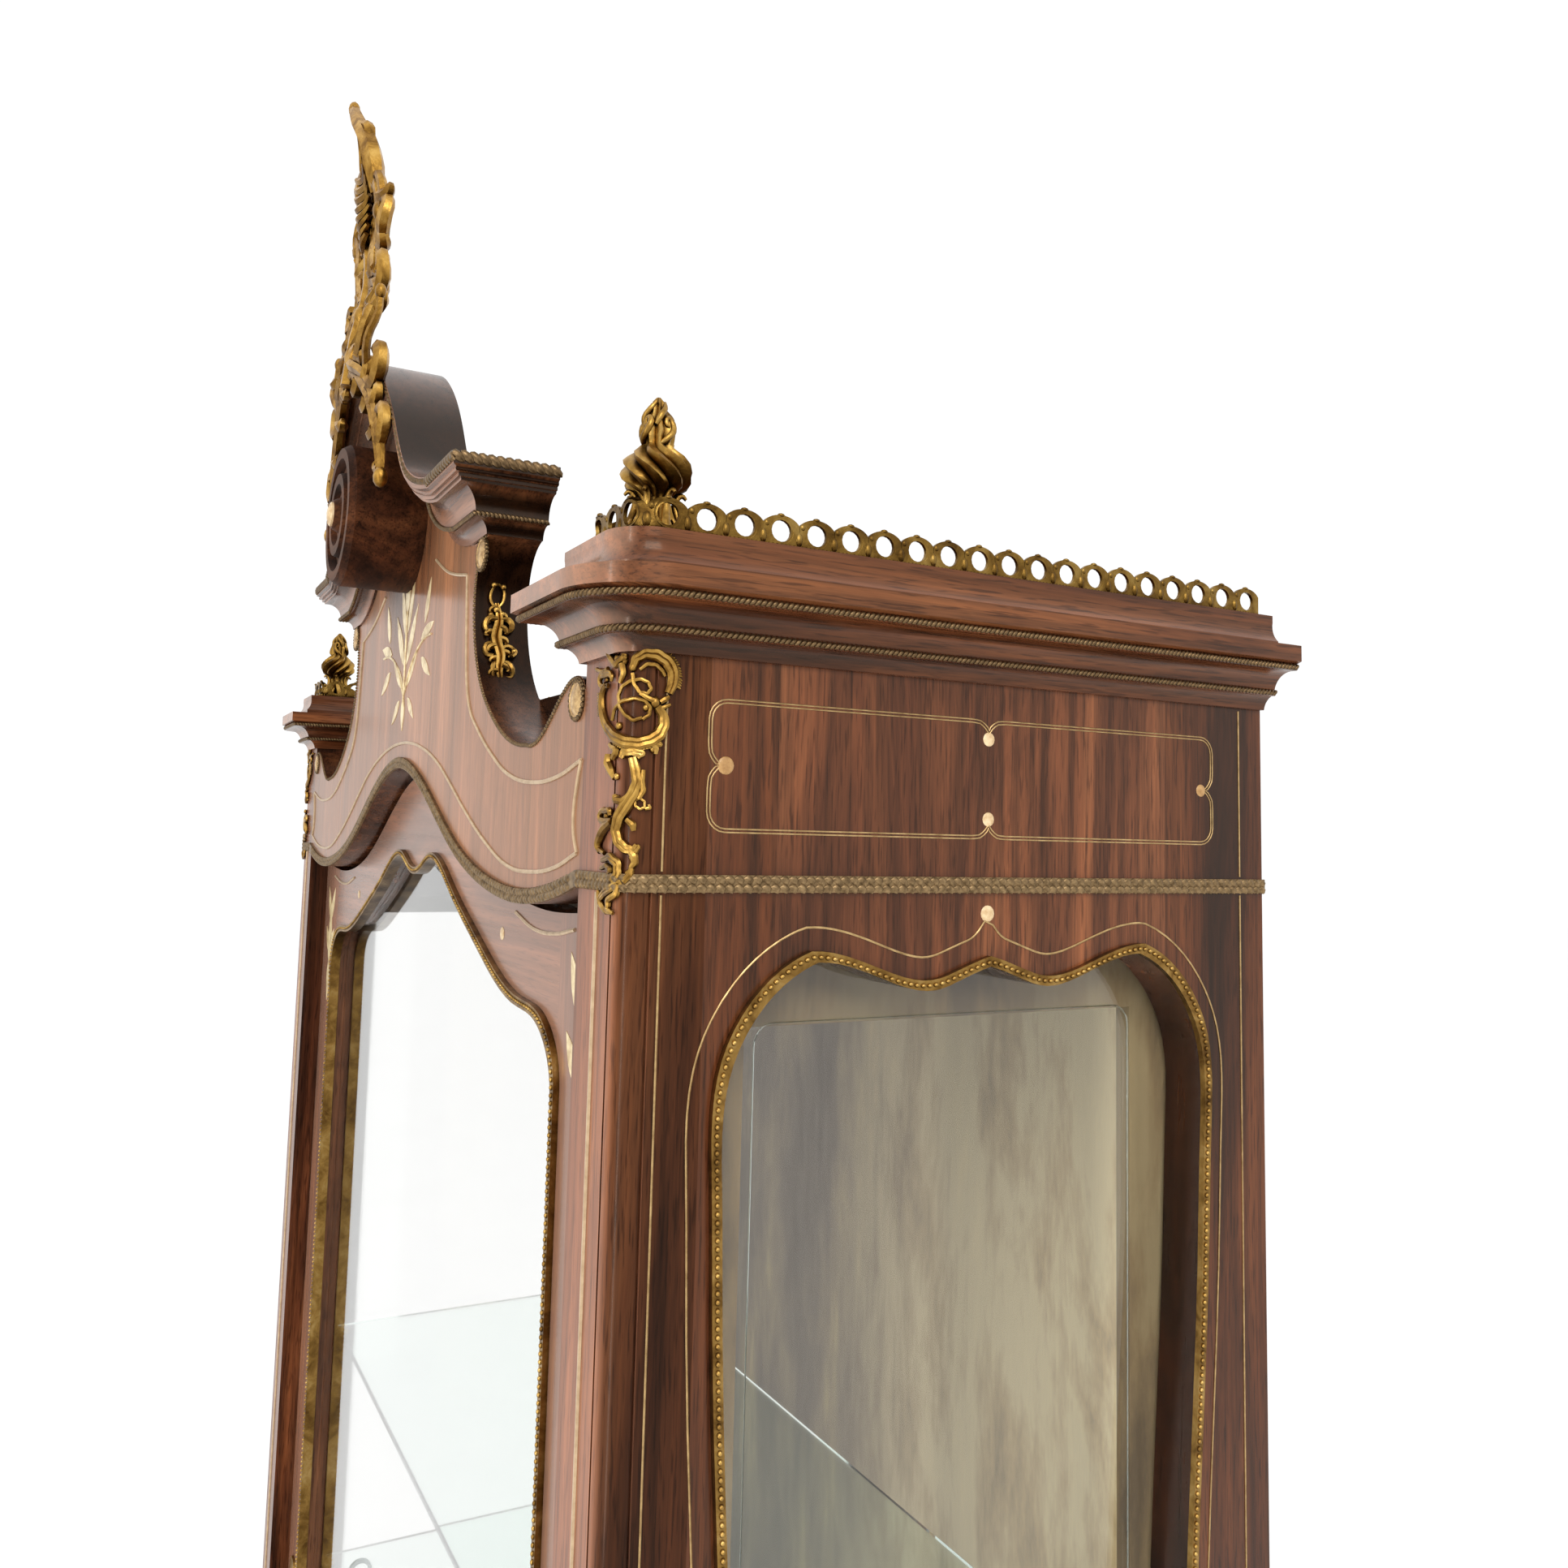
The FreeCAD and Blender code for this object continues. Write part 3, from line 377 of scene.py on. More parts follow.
def between(tree, value, start, full, least=0.0):
    return wired(tree, "MapRange", "Result", {"Value": value, "From Min": start, "From Max": full,
                                              "To Min": least})


def partOf(tree, vector, axis):
    return wired(tree, "SeparateXYZ", axis, {"Vector": vector})


def bumped(tree, height, strength, distance):
    return wired(tree, "Bump", "Normal", {"Height": height, "Strength": strength, "Distance": distance})


def facing(tree, spot, axis, start, full):
    # how far a surface turns to one side, from the piece's own normal
    return between(tree, partOf(tree, spot.node.outputs["Normal"], axis), start, full)


def shadowFalloff(tree, spot, middle, near, far, least):
    # one away from a point, less near it: a painted shadow round that point
    apart = wired(tree, "VectorMath", "Value", {0: spot, 1: middle}, operation="DISTANCE")
    return between(tree, apart, near, far, least)


def patternGroup(name):
    tree = bpy.data.node_groups.new(name, "ShaderNodeTree")
    for label, way, kind in (("Vector", "INPUT", "Vector"), ("Color", "OUTPUT", "Color"),
                             ("Roughness", "OUTPUT", "Float"), ("Height", "OUTPUT", "Float")):
        tree.interface.new_socket(label, in_out=way, socket_type="NodeSocket" + kind)
    return tree, tree.nodes.new("NodeGroupInput").outputs["Vector"], tree.nodes.new("NodeGroupOutput")


def finish(name):
    material = bpy.data.materials.new(name)
    material.use_nodes = True
    tree = material.node_tree
    spot = tree.nodes.new("ShaderNodeTexCoord").outputs["Object"]
    return material, tree, tree.nodes["Principled BSDF"], spot


def place(tree, pattern, vector):
    node = tree.nodes.new("ShaderNodeGroup")
    node.node_tree = pattern
    tree.links.new(vector, node.inputs["Vector"])
    return node.outputs


# rosewood: broad dark figure, fine streaks and short pores, with the grain along Z
grainLook = {"figure": ((8, 8, 0.8), 1.5, 6, 0.66, 1.3), "streak": ((120, 120, 2.4), 1.0, 5, 0.72, 0.4),
             "pores": ((620, 620, 40), 1.0, 2, 0.5), "rough": (0.34, 0.16),
             "streakShare": 0.95, "poreShare": 0.75,
             "tone": [(0.30, (0.013, 0.0058, 0.0038)), (0.42, (0.056, 0.0195, 0.0092)),
                      (0.52, (0.128, 0.046, 0.0190)), (0.66, (0.225, 0.088, 0.035)),
                      (0.80, (0.086, 0.030, 0.0135))],
             "fine": [(0.30, (0.20, 0.17, 0.16)), (0.47, (0.82, 0.79, 0.78)), (0.70, (1.45, 1.35, 1.25))],
             "short": [(0.34, (0.30, 0.26, 0.25)), (0.46, (1, 1, 1))]}


def grainGroup(look):
    tree, vector, end = patternGroup("rosewoodGrain")
    figure, streak, pores = [drawn(tree, vector, *look[part]) for part in ("figure", "streak", "pores")]
    tone = ramp(tree, figure, look["tone"])
    tone = mixed(tree, "MULTIPLY", look["streakShare"], tone, ramp(tree, streak, look["fine"]))
    tone = mixed(tree, "MULTIPLY", look["poreShare"], tone, ramp(tree, pores, look["short"]))
    fill(tree, end, {"Color": tone, "Roughness": stretched(tree, streak, *look["rough"]), "Height": pores})
    return tree


# fire-gilt bronze: brown patina in cloudy patches; dark patina and painted shade in the hollows leave the
# high parts bright, and painted shade darkens the undersides
giltLook = {"cloud": (55, 5, 0.65, 0.5), "chased": (420, 3, 0.6), "rough": (0.52, 0.2), "bumpReach": 0.0006,
            "tone": [(0.28, (0.16, 0.085, 0.025)), (0.42, (0.38, 0.225, 0.062)),
                     (0.55, (0.62, 0.395, 0.115)), (0.72, (0.90, 0.645, 0.25))],
            "patinaAndShade": [(0.25, (0.16, 0.12, 0.08)), (0.85, (1, 1, 1))],
            "under": (0.34, 0.30, 0.24), "underFrom": (0.15, -0.75)}


def giltGroup(look):
    tree, vector, end = patternGroup("giltPatina")
    cloud, chased = noise(tree, vector, *look["cloud"]), noise(tree, vector, *look["chased"])
    fill(tree, end, {"Color": ramp(tree, cloud, look["tone"]),
                     "Roughness": stretched(tree, cloud, *look["rough"]), "Height": chased})
    return tree


rosewood, patina = grainGroup(grainLook), giltGroup(giltLook)

# polished rosewood, its grain turned to lie along the piece; a pale sheen is painted on the front faces
sheenAndPolish = {"gain": (1.15, 1.2, 1.3), "sheenWash": (0.185, 0.105, 0.072), "sheen": (1.0, 0.70, 0.52),
        "from": (-0.55, -0.95), "bump": (0.06, 0.0004), "coatRough": 0.08}


def veneer(name, turn, lift=None, coat=0.08, sideShade=None, sheenWash=sheenAndPolish["sheenWash"], gloss=0.4, matt=None, shadowRound=None,
           front=sheenAndPolish["from"]):
    # lift tints the grain; a painted sheen pales the front faces, less in a painted shadow round a given
    # point; painted shade darkens the faces turned to one side
    material, tree, shader, spot = finish(name)
    grain = place(tree, rosewood, mapped(tree, spot, (1, 1, 1), turn))
    tone = times(tree, grain["Color"], lift) if lift else grain["Color"]
    # painted sheen: the front faces are paled, as by the reflection of bright surroundings
    if sheenWash:
        amount = facing(tree, spot, "Y", *front)
        # painted shadow: less of the painted sheen near the given point
        if shadowRound:
            amount = mixed(tree, "MULTIPLY", 1.0, amount, shadowFalloff(tree, spot, *shadowRound))
        pale = mixed(tree, "ADD", 1.0, times(tree, tone, sheenAndPolish["gain"]), (*sheenWash, 1))
        tone = mixed(tree, "MIX", amount, tone, pale)
    # painted shade: faces turned to one side are darkened
    if sideShade:
        axis, start, full, shade = sideShade
        tone = mixed(tree, "MIX", facing(tree, spot, axis, start, full), tone, times(tree, tone, [shade] * 3))
    fill(tree, shader, {"Base Color": tone, "Roughness": matt or grain["Roughness"],
                        "Specular IOR Level": gloss, "Specular Tint": (*sheenAndPolish["sheen"], 1),
                        "Coat Weight": coat, "Coat Roughness": sheenAndPolish["coatRough"],
                        "Normal": bumped(tree, grain["Height"], *sheenAndPolish["bump"])})
    return material


def giltFinish(name, bump=0.25, tint=None, reach=0.006):
    material, tree, shader, spot = finish(name)
    metal = place(tree, patina, spot)
    tone = times(tree, metal["Color"], tint) if tint else metal["Color"]
    # painted shade: ambient occlusion darkens the hollows, standing also for their dark patina there
    occlusion = wired(tree, "AmbientOcclusion", "AO", {"Distance": reach}, samples=4)
    tone = mixed(tree, "MULTIPLY", 1.0, tone, ramp(tree, occlusion, giltLook["patinaAndShade"]))
    # painted shade: faces turned downwards are darkened
    tone = mixed(tree, "MIX", facing(tree, spot, "Z", *giltLook["underFrom"]), tone,
                 times(tree, tone, giltLook["under"]))
    fill(tree, shader, {"Base Color": tone, "Roughness": metal["Roughness"], "Metallic": 1.0,
                        "Normal": bumped(tree, metal["Height"], bump, giltLook["bumpReach"])})
    return material


# brass and bone let into the veneer, glass with a film of dust, and brushed metal
inlayLook = {"cloud": (4, 0.6), "dull": 0.12, "bright": -0.08}
glassFilm = ((6, 6, 2.5), 1.0, 4, 0.6)
brushLook = {"lines": ((60, 60, 900), 1.0, 3, 0.6), "shade": 0.7, "bright": -0.08, "dull": 0.1,
             "bump": (0.08, 0.0003)}


def inlayFinish(name, low, high, scale, metal=0.0, rough=0.3):
    material, tree, shader, spot = finish(name)
    cloud = noise(tree, spot, scale, *inlayLook["cloud"])
    fill(tree, shader, {"Base Color": ramp(tree, cloud, [low, high]), "Metallic": metal,
                        "Roughness": stretched(tree, cloud, rough + inlayLook["dull"],
                                               rough + inlayLook["bright"])})
    return material


def glassFinish(name, ior, tint, smear):
    material, tree, shader, spot = finish(name)
    film = drawn(tree, spot, *glassFilm)
    fill(tree, shader, {"Base Color": (*tint, 1), "IOR": ior, "Transmission Weight": 1.0,
                        "Roughness": stretched(tree, film, 0.0, smear)})
    return material


# old gold silk, worn brown in long upright streaks, brighter gold towards the right
silkLook = {"wear": ((13, 13, 3.4), 1.0, 7, 0.66, 0.2), "thread": ((900, 900, 60), 1.0, 2, 0.5),
            "rightwardX": (0.02, 0.38),
            "worn": [(0.30, (0.12, 0.096, 0.074)), (0.46, (0.185, 0.15, 0.112)), (0.57, (0.27, 0.215, 0.14)),
                     (0.70, (0.44, 0.345, 0.185))],
            "gold": [(0.34, (0.42, 0.32, 0.18)), (0.45, (0.80, 0.62, 0.33)), (0.53, (1.0, 0.85, 0.51))],
            "fine": [(0.3, (0.95, 0.945, 0.93)), (0.7, (1.02, 1.02, 1.02))], "fineShare": 0.7,
            "rough": (0.75, 0.42), "bump": (0.015, 0.0002), "sheen": 0.25}


def silkFinish(name, dim=(1, 1, 1)):
    material, tree, shader, spot = finish(name)
    wear, thread = drawn(tree, spot, *silkLook["wear"]), drawn(tree, spot, *silkLook["thread"])
    rightward = between(tree, partOf(tree, spot, "X"), *silkLook["rightwardX"])
    tone = mixed(tree, "MIX", rightward, ramp(tree, wear, silkLook["worn"]), ramp(tree, wear, silkLook["gold"]))
    tone = mixed(tree, "MULTIPLY", silkLook["fineShare"], times(tree, tone, dim),
                 ramp(tree, thread, silkLook["fine"]))
    fill(tree, shader, {"Base Color": tone, "Roughness": stretched(tree, wear, *silkLook["rough"]),
                        "Normal": bumped(tree, thread, *silkLook["bump"]), "Sheen Weight": silkLook["sheen"]})
    return material


def brushedFinish(name, colour, rough):
    material, tree, shader, spot = finish(name)
    brushed = drawn(tree, spot, *brushLook["lines"])
    tone = ramp(tree, brushed, [(0.3, tuple(c * brushLook["shade"] for c in colour)), (0.7, colour)])
    fill(tree, shader, {"Base Color": tone, "Metallic": 1.0,
                        "Normal": bumped(tree, brushed, *brushLook["bump"]),
                        "Roughness": stretched(tree, brushed, rough + brushLook["bright"],
                                               rough + brushLook["dull"])})
    return material


upright, across, along = (0, 0, 0), (0, quarter, 0), (quarter, 0, 0)  # which way the grain lies
# tints and the painted sheen on the front for the cornice and the posts
corniceLook = {"lift": (1.15, 1.05, 0.95), "sheenWash": (0.235, 0.142, 0.096)}
postLook = {"lift": (1.0, 0.9, 0.86), "coat": 0.04, "sheenWash": (0.13, 0.064, 0.040), "gloss": 0.16,
            "front": (-0.85, -0.98)}
uprightVeneer = veneer("rosewoodUpright", upright)
acrossVeneer = veneer("rosewoodAcross", across)
# the dark setting paints shade on faces turned to one side: the cornice's and posts' outer sides, the side
# stiles' fronts, the frieze rails' undersides, the bonnet's right-hand end
alongVeneer = veneer("rosewoodAlong", along, sideShade=("X", 0.5, 0.9, 0.72), **corniceLook)
alongLeft = veneer("rosewoodAlongLeft", along, sideShade=("X", -0.5, -0.9, 0.72), **corniceLook)
postRight = veneer("rosewoodPostRight", upright, sideShade=("X", 0.1, 0.6, 0.42), **postLook)
postLeft = veneer("rosewoodPostLeft", upright, sideShade=("X", -0.1, -0.6, 0.42), **postLook)
stileVeneer = veneer("rosewoodStile", upright, (0.64, 0.53, 0.48), sideShade=("Y", -0.5, -0.9, 0.3), sheenWash=None)
railVeneer = veneer("rosewoodFrieze", upright, (1.12, 1.03, 1.04), sideShade=("Z", -0.5, -0.9, 0.3), sheenWash=None)
bonnetVeneer = veneer("rosewoodBonnet", across, (0.8, 0.8, 0.8), sideShade=("X", 0.4, 0.8, 0.08))
# the board: painted sheen on its front, less in a painted shadow round the boss, and painted shade on its
# right-hand side
boardVeneer = veneer("rosewoodBoard", upright, coat=0.0, sideShade=("X", 0.3, 0.8, 0.10), gloss=0.2,
                     sheenWash=(0.205, 0.106, 0.056), shadowRound=((0, -0.1925, 1.905), 0.082, 0.135, 0.25))
bossVeneer = veneer("rosewoodBoss", across, (0.5, 0.46, 0.44), 0.0, sheenWash=(0.05, 0.03, 0.02), gloss=0.12,
                    matt=0.6)
stainedWood = veneer("stainedCarcass", across, (0.5, 0.55, 0.6), 0.05, sheenWash=None)
gilt = giltFinish("giltBronze")
giltMount = giltFinish("giltMount", 0.25, (0.9, 0.82, 0.66), 0.005)
giltCrest = giltFinish("giltCrest", 0.45, (0.84, 0.72, 0.50), 0.014)
giltAged = giltFinish("giltAged", 0.5, (0.42, 0.38, 0.29))
giltFinial = giltFinish("giltFinial", 0.3, (0.72, 0.65, 0.5))
giltWorn = giltFinish("giltWorn", 0.4, (0.88, 0.84, 0.78))
giltDull = giltFinish("giltDull", 0.4, (0.55, 0.50, 0.46), 0.004)
darkBronze = inlayFinish("darkBronze", (0.3, (0.085, 0.052, 0.024)), (0.7, (0.23, 0.145, 0.068)), 320, 0.9,
                         0.36)
bandBronze = inlayFinish("bandBronze", (0.3, (0.10, 0.062, 0.028)), (0.7, (0.34, 0.225, 0.11)), 260, 0.9, 0.4)
brassLine = inlayFinish("brassLine", (0.3, (0.30, 0.185, 0.075)), (0.7, (0.56, 0.38, 0.17)), 160, 0.75, 0.34)
bone = inlayFinish("boneInlay", (0.3, (0.50, 0.31, 0.14)), (0.62, (0.76, 0.58, 0.34)), 200)
amber = inlayFinish("amberInlay", (0.3, (0.30, 0.15, 0.045)), (0.7, (0.52, 0.30, 0.11)), 240)
paleLine = inlayFinish("paleLine", (0.3, (0.40, 0.27, 0.15)), (0.7, (0.58, 0.42, 0.25)), 160, 0.15, 0.36)
leafInlay = inlayFinish("leafInlay", (0.35, (0.50, 0.35, 0.16)), (0.6, (0.86, 0.70, 0.40)), 90, 0.1, 0.3)
discFace = inlayFinish("discFace", (0.35, (0.34, 0.19, 0.07)), (0.65, (0.74, 0.50, 0.22)), 260, 0.5, 0.34)
brassFitting = brushedFinish("brassFitting", (0.62, 0.44, 0.18), 0.3)
lockSteel = brushedFinish("lockSteel", (0.42, 0.42, 0.43), 0.34)
sideGlass = glassFinish("sideGlass", 1.45, (0.98, 0.97, 0.96), 0.03)
doorGlass = glassFinish("doorGlass", 1.85, (0.98, 0.99, 0.99), 0.03)
shelfGlass = glassFinish("shelfGlass", 1.45, (0.84, 0.93, 0.89), 0.02)
silk = silkFinish("goldSilk")
silkEdge = silkFinish("silkEdge", (0.235, 0.21, 0.165))

# the frame pieces that take each finish, by the start of their names
finishOf = {}
for material, stems in (
        (postRight, "front_post_right"), (postLeft, "front_post_left"), (boardVeneer, "front_board"),
        (stileVeneer, "side_front_stile side_rear_stile"), (railVeneer, "side_top_rail side_lower_panel"),
        (uprightVeneer, "door_stile door_panel door_beads front_foot rear_foot"), (bonnetVeneer, "hood"),
        (acrossVeneer, "plinth door_top_rail door_mid_rail door_bottom_rail"), (bossVeneer, "boss"),
        (stainedWood, "back_panel bottom_board display_floor top_board"), (alongVeneer, "side_cornice"),
        (alongLeft, "side_cornice_left"), (silkEdge, "glazing_strips"), (silk, "back_lining"),
        (doorGlass, "door_glass"), (sideGlass, "side_glass"), (shelfGlass, "shelf_lower shelf_upper"),
        (brassFitting, "shelf_pins pivot strike_plate"), (lockSteel, "key lock"), (giltAged, "gallery"),
        (gilt, "escutcheon crest finial corner_mount pediment_trim foot_sabots"),
        (bandBronze, "metal_bands"), (giltDull, "window_moulding door_moulding")):
    for stem in stems.split():
        finishOf[stem] = material

for nodeName, node in nodes.items():
    stem = max((key for key in finishOf if nodeName.startswith(key)), key=len)
    node.data.materials.clear()
    node.data.materials.append(finishOf[stem])
    if "glass" in nodeName or "shelf_" in nodeName:
        node.visible_shadow = False  # daylight reaches the lining through the panes
print("cabinet: finishes set")


def ball(half, spot=(0, 0, 0), radius=1, segments=8, rings=5):
    # a bead squashed to its three half lengths
    pickNone()
    bpy.ops.mesh.primitive_uv_sphere_add(segments=segments, ring_count=rings, radius=radius, location=spot)
    bpy.context.object.scale = half
    return settle()


def budBalls(places, stretch):
    buds = []
    for spot, size in places:
        pickNone()
        bpy.ops.mesh.primitive_ico_sphere_add(subdivisions=2, radius=size, location=spot)
        bpy.context.object.scale = stretch
        buds.append(settle())
    return buds


def turned(name, spot, rings):
    # a small turned knob that faces the front: radius and forward reach, ring by ring from its foot up
    pickNone()
    bpy.ops.mesh.primitive_circle_add(vertices=24, radius=rings[0][0], fill_type="NGON", location=spot,
                                      rotation=(quarter, 0, 0))
    knob = settle()
    knob.name = name
    openMesh()
    for (wide, low), (wideNext, high) in zip(rings, rings[1:]):
        bpy.ops.mesh.extrude_region_move(TRANSFORM_OT_translate={"value": (0, low - high, 0)})
        bpy.ops.transform.resize(value=(wideNext / wide, 1, wideNext / wide))
    closeMesh()
    return knob


leafForm = {"taper": 0.75, "swell": 0.92, "least": 0.08, "waves": 6.3, "sway": 0.12}


def leafUnit(length, width, rise):
    # a small pointed leaf with a raised rib, from a subdivided plate
    pickNone()
    bpy.ops.mesh.primitive_grid_add(x_subdivisions=4, y_subdivisions=4, size=1)
    leaf = bpy.context.object
    for vertex in leaf.data.vertices:
        reach, side = vertex.co.x + 0.5, vertex.co.y * 2
        swell = math.sin(math.pi * reach ** leafForm["taper"]) * leafForm["swell"] + leafForm["least"]
        wave = math.sin(reach * leafForm["waves"]) * width * leafForm["sway"]
        vertex.co = ((reach - 0.5) * length, side * swell * width / 2 + wave,
                     rise * (1 - side * side) * swell)
    openMesh()
    bpy.ops.mesh.extrude_region_move(TRANSFORM_OT_translate={"value": (0, 0, -rise)})
    closeMesh()
    return leaf


def cornerPath(offset, z, innerReach=True):
    # round the right-hand top in plan: outer side, rounded front corner, front and inner side
    centre = Vector((halfWidth - columnRadius, frontY + columnRadius, z))
    points = [Vector((halfWidth + offset, backY, z))]
    points += arc(centre, columnRadius + offset, 0, -90, 10)
    if innerReach:
        points += [Vector((openingHalf - offset, frontY - offset, z)),
                   Vector((openingHalf - offset, backY, z))]
    else:
        points += [Vector((openingHalf, frontY - offset, z))]
    return points


def roundTop(name, unit, offset, z, step, pitch, innerReach=True):
    # one unit repeated round the right-hand top
    return runAlong(name, unit, evenly(cornerPath(offset, z, innerReach), step), levelPlane(z), pitch)


# rope-twist beads under the corona and over the bed mould: offset from the post and rise over its top
ropes = {"low": (0.0135, 0.0108), "high": (0.0312, 0.026), "half": (0.0028, 0.0015, 0.0019), "lean": 0.7,
         "pitch": 0.0031, "step": 0.004}
ropeUnit = ball(ropes["half"])
for axis, turn in enumerate((quarter, ropes["lean"])):
    ropeUnit.rotation_euler[axis] = turn
    settle()
rows = [roundTop("cornerRope", ropeUnit, offset, corniceZ + rise, ropes["step"], ropes["pitch"])
        for offset, rise in (ropes["low"], ropes["high"])]
dressPair(joined("corniceRope", rows), darkBronze)
print("cabinet: cornice ropes")

# pierced gallery: an arcade of round holes, each unit a flat plate with buds beside and over its hole
galleryLook = {"inset": 0.0015, "pitch": 0.0224, "hole": 0.0061, "holeRise": 0.0106, "top": 0.0087,
               "thick": 0.0011, "ring": 0.0072, "wire": 0.0012, "valley": 24, "overlap": 1.01, "step": 0.003,
               "holeSides": 16, "topSteps": 14,
               "buds": [(1, 0.0068, (0.0026, 0.0050, 0.0024)), (0.8, 0.0140, (0.0020, 0.0024, 0.0018)),
                        (0, 0.0193, (0.0024, 0.0013, 0.0017))],
               "bead": (0.0012, 0.00256, 0.0019), "beadRise": 0.0019, "beadPitch": 0.0026}


def arcadeUnit(look):
    half, middle = look["pitch"] / 2, Vector((0, look["holeRise"], 0))
    outline = [Vector((-half, 0, 0)), Vector((half, 0, 0))]
    for spot in arc(zero, 1, look["valley"], 180 - look["valley"], look["topSteps"]):
        wide = spot.x / math.cos(math.radians(look["valley"]))
        outline.append(middle + Vector((wide * half * look["overlap"], spot.y * look["top"], 0)))
    sheet = plate("arcadePlate", (outline, ringOf(middle, look["hole"], look["holeSides"])), look["thick"])
    bpy.ops.mesh.primitive_torus_add(major_segments=16, minor_segments=5, major_radius=look["ring"],
                                     minor_radius=look["wire"], location=middle)
    buds = [settle()] + [ball(size, (half * share, rise, 0)) for share, rise, size in look["buds"]]
    unit = joined("arcadeUnit", [sheet] + buds)
    unit.rotation_euler.x = quarter
    return settle()


arcade, stripUnit = arcadeUnit(galleryLook), ball(galleryLook["bead"])
inset, step = -galleryLook["inset"], galleryLook["step"]
rows = [roundTop("galleryRings", arcade, inset, capTopZ, step, galleryLook["pitch"]),
        roundTop("galleryStrip", stripUnit, inset, capTopZ + galleryLook["beadRise"], step,
                 galleryLook["beadPitch"])]
dressPair(joined("gallery", rows), giltAged, "gallery")
discard(stripUnit, arcade)
print("cabinet: galleries")


# finial: a bulb of spiral lobes on a flared foot, extruded ring by ring: radius, rise, twist in degrees.
# The curls round it go by turn, reach and rise from its foot and half thickness, in mm
finialLook = {"levels": [(0.0150, 0.0, 0), (0.0138, 0.0075, 0), (0.0098, 0.0185, 0), (0.0082, 0.0255, 0),
                         (0.0120, 0.0288, 6), (0.0168, 0.0318, 10), (0.0192, 0.0350, 12),
                         (0.0200, 0.0390, 14), (0.0199, 0.0425, 14), (0.0188, 0.0460, 14),
                         (0.0160, 0.0495, 13), (0.0120, 0.0525, 11), (0.0088, 0.0555, 8),
                         (0.0094, 0.0590, 0), (0.0098, 0.0630, 0), (0.0080, 0.0690, 0), (0.0058, 0.0725, 0),
                         (0.0046, 0.0770, 0), (0.0034, 0.0805, 0), (0.0012, 0.0830, 0)],
              "lobes": 9, "groove": (1.0, 0.92, 0.70, 0.88), "curls": [(4, 20, "flame"), (6, 0, "leaf")],
              "flame": [[(-30, 7, 55, 1.4), (-8, 9.4, 58, 1.8), (16, 9.8, 63, 2.0), (20, 8, 69, 1.8),
                         (0, 7.3, 70, 1.5), (-4, 8.2, 66, 1.2), (6, 8.9, 65, 0.8)],
                        [(40, 7, 66, 1.6), (60, 7.4, 71, 1.9), (90, 5.4, 76, 1.6), (120, 3.6, 80, 0.9)]],
              "leaf": [[(0, 17, 0.5, 2.6), (0, 15.5, 8, 2.9), (8, 11.5, 18, 2.4), (14, 11, 25, 2.0),
                        (16, 14.5, 29, 1.5), (16, 17, 27, 0.9)],
                       [(30, 16, 0.5, 2.2), (30, 15.5, 7, 2.2), (24, 13, 13, 1.2)]]}
finialLow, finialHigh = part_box("finial_right")
centre = (finialLow + finialHigh) / 2
finialFoot, grooves = Vector((centre.x, centre.y, finialLow.z)), finialLook["groove"]
pickNone()
bpy.ops.mesh.primitive_circle_add(vertices=finialLook["lobes"] * len(grooves), radius=1, fill_type="NGON",
                                  location=finialFoot)
finial = settle()
for index, vertex in enumerate(finial.data.vertices):
    vertex.co.xy = centre.xy + (vertex.co.xy - centre.xy) * grooves[index % len(grooves)]
openMesh()
radius, height = 1.0, 0.0
for wanted, rise, twist in finialLook["levels"]:
    if rise > 0:
        bpy.ops.mesh.extrude_region_move(TRANSFORM_OT_translate={"value": (0, 0, rise - height)})
    if twist:
        bpy.ops.transform.rotate(value=math.radians(twist), orient_axis="Z", center_override=finialFoot)
    share = wanted / radius
    bpy.ops.transform.resize(value=(share, share, 1), center_override=finialFoot)
    radius, height = wanted, rise
closeMesh()


def roundSpot(turn, reach, rise, half):
    a = math.radians(turn)
    return finialFoot + Vector((math.cos(a) * reach, math.sin(a) * reach, rise)) / 1000, half / 1000


curls = []
for count, first, kind in finialLook["curls"]:
    for start in (360 / count * i + first for i in range(count)):
        curls += [[roundSpot(start + turn, *rest) for turn, *rest in run] for run in finialLook[kind]]
dressPair(joined("finial", [finial, strokes("finialCurls", curls, 3, 2)]), giltFinial,
          "finial", 50)
print("cabinet: finials")


def mirroredRuns(runs):
    return runs + [[(-x, z, half) for x, z, half in run] for run in runs]


# a side leaf: shares of the scroll's half thickness, of its own length aside and along, and how stout
leafletShape = [(0.4, 0, 0, 0.75), (1, 0.5, 0.25, 0.7), (1, 0.8, 0.8, 0.5), (1, 0.45, 1.0, 0.2)]


def leaflets(run, gap, length):
    # curled side leaves along a scroll, to left and right in turn; all in mm
    out, left, side = [], gap / 2, 1
    for (x, z, half), (x2, z2, half2) in zip(run, run[1:]):
        way = Vector((x2 - x, z2 - z))
        span, way = way.length, way.normalized()
        while left < span:
            aside = Vector((-way.y, way.x)) * side
            root, thick = Vector((x, z)) + way * left, (half + half2) / 2
            out.append([(*(root + aside * (thick * a + length * b) + way * length * c), thick * stout)
                        for a, b, c, stout in leafletShape])
            left, side = left + gap, -side
        left -= span
    return out


ridge = {"aside": 0.5, "stout": 0.62}  # shares of the scroll's half thickness


def ridged(run):
    # a scroll band: two ridges with a groove between them
    out = []
    for side in (ridge["aside"], -ridge["aside"]):
        line = []
        for i, (x, z, half) in enumerate(run):
            before, after = run[max(i - 1, 0)], run[min(i + 1, len(run) - 1)]
            way = Vector((after[0] - before[0], after[1] - before[1])).normalized()
            line.append((x - way.y * half * side, z + way.x * half * side, half * ridge["stout"]))
        out.append(line)
    return out


